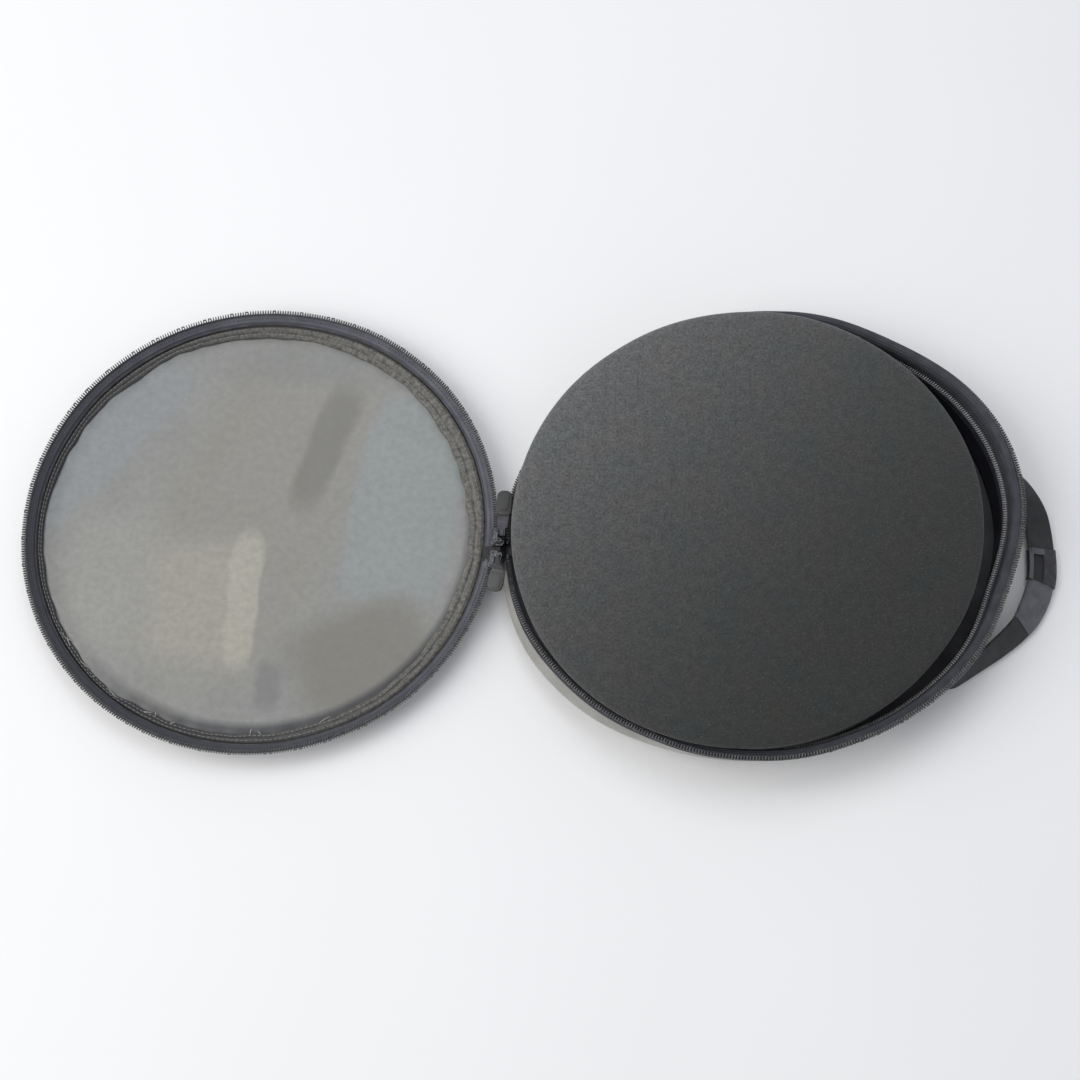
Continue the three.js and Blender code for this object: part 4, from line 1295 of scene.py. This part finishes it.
corner = along_handle("handle_hook_corner", curl, nearest(-6), hook_last)
hold_handle(corner, sleeve_cloth, "hook_tape")
sleeve_first, sleeve_last = nearest(-58), nearest(-26)


def sleeve_section(share):
    """The sleeve is padded: thin at both ends, and uneven where the hand squeezes it."""
    edge = strap_half + 1.2 + 0.8 * math.sin(math.pi * share)
    end = min(share, 1 - share) * 8
    high = 2.0 + 0.8 * min(1.0, end) + 0.35 * math.sin(9 * share)
    line = []
    for t in steps(0, 2 * math.pi, 25)[:-1]:
        c, s = math.cos(t), math.sin(t)
        across = edge * abs(c) ** 0.7 * (1 if c > 0 else -1)
        line.append((across, high * abs(s) ** 0.8 * (1 if s > 0 else -1)))
    return line


sleeve = along_handle("handle_grip_sleeve", sleeve_section, sleeve_first, sleeve_last)
hold_handle(sleeve, sleeve_cloth, "grip_sleeve", "handle_wrap_sleeve")

for word, root, anchor_half in (("upper", upper_root, 5.5), ("lower", lower_root + 2.0, 7.0)):
    rows = []
    for angle in steps(root - anchor_half, root + anchor_half, 13):
        line = [wall_spot(angle, z, 0.5) for z in steps(6.5, 25.5, 8)]
        outer = [wall_spot(angle, z, 1.5) for z in steps(25.0, 7.0, 8)]
        rows.append(line + outer)
    patch = sew(f"handle_patch_{word}", rows, ring=False)
    draw_in(put(patch, "base", webbing, "webbing", f"handle_anchor_{word}"))
    for row, height in enumerate((9.0, 23.5)):
        draw_in(stitches(f"handle_patch_{word}_seam_{row + 1}", lambda a, h=height: wall_spot(a, h, 1.55),
                         root - anchor_half + 0.5, root + anchor_half - 0.5, 3.0, 2.2, 0.3, dark_thread,
                         "base", "webbing"))

# ------------------------------------------------------------------ floor, light and camera
# A pale table top, a broad soft light from the left and one from above, and a camera above the
# front that looks down on the open case.
table_edges = (-4000, 4000)
table = sew("table_top", [[(x, y, -0.3) for y in table_edges] for x in table_edges], ring=False,
            tube=False, planar=True)
table_paint, tree, shader, thread = start_finish("pale table", Roughness=0.9)
table_cloud = cloud_of(tree, thread, 300.0, 0.3)
tree.links.new(blend_colours(tree, table_cloud, (0.90, 0.90, 0.90), (0.92, 0.92, 0.92)),
               shader.inputs["Base Color"])
table.data.materials.append(table_paint)

world = bpy.data.worlds.new("studio")
bpy.context.scene.world = world
world.use_nodes = True
sky = world.node_tree.nodes["Background"]
sky.inputs["Color"].default_value = (0.93, 0.95, 1.0, 1.0)
sky.inputs["Strength"].default_value = 0.52


def soft_light(name, place, aim, width, power, colour):
    lamp = bpy.data.lights.new(name, "AREA")
    lamp.size = width
    lamp.energy = power
    lamp.color = colour
    holder = lay_out(name, lamp)
    holder.location = place
    holder.rotation_euler = (Vector(aim) - Vector(place)).to_track_quat("-Z", "Y").to_euler()


soft_light("left_window", (-1.9, -0.35, 1.5), (-0.1, 0, 0), 1.9, 33, (1.0, 0.98, 0.95))
soft_light("top_panel", (-0.2, 0.9, 1.9), (-0.14, 0, 0), 1.2, 10, (0.93, 0.96, 1.0))

camera_at = (-0.1395, -0.3884, 1.0492)
camera_rise, camera_roll = math.radians(69.75), math.radians(1.57)
towards = Vector((0, -math.cos(camera_rise), math.sin(camera_rise)))
up = Vector((0, math.sin(camera_rise), math.cos(camera_rise)))
right = Vector((1, 0, 0))
seen_x = right * math.cos(camera_roll) + up * math.sin(camera_roll)
seen_y = up * math.cos(camera_roll) - right * math.sin(camera_roll)
camera = lay_out("camera", bpy.data.cameras.new("camera"))
camera.data.sensor_width = 36.0
camera.data.lens = 53.33
camera.data.clip_end = 20
facing = Matrix((seen_x, seen_y, towards)).transposed().to_4x4()
camera.matrix_world = Matrix.Translation(camera_at) @ facing
bpy.context.scene.camera = camera
bpy.context.scene.view_settings.view_transform = "Standard"
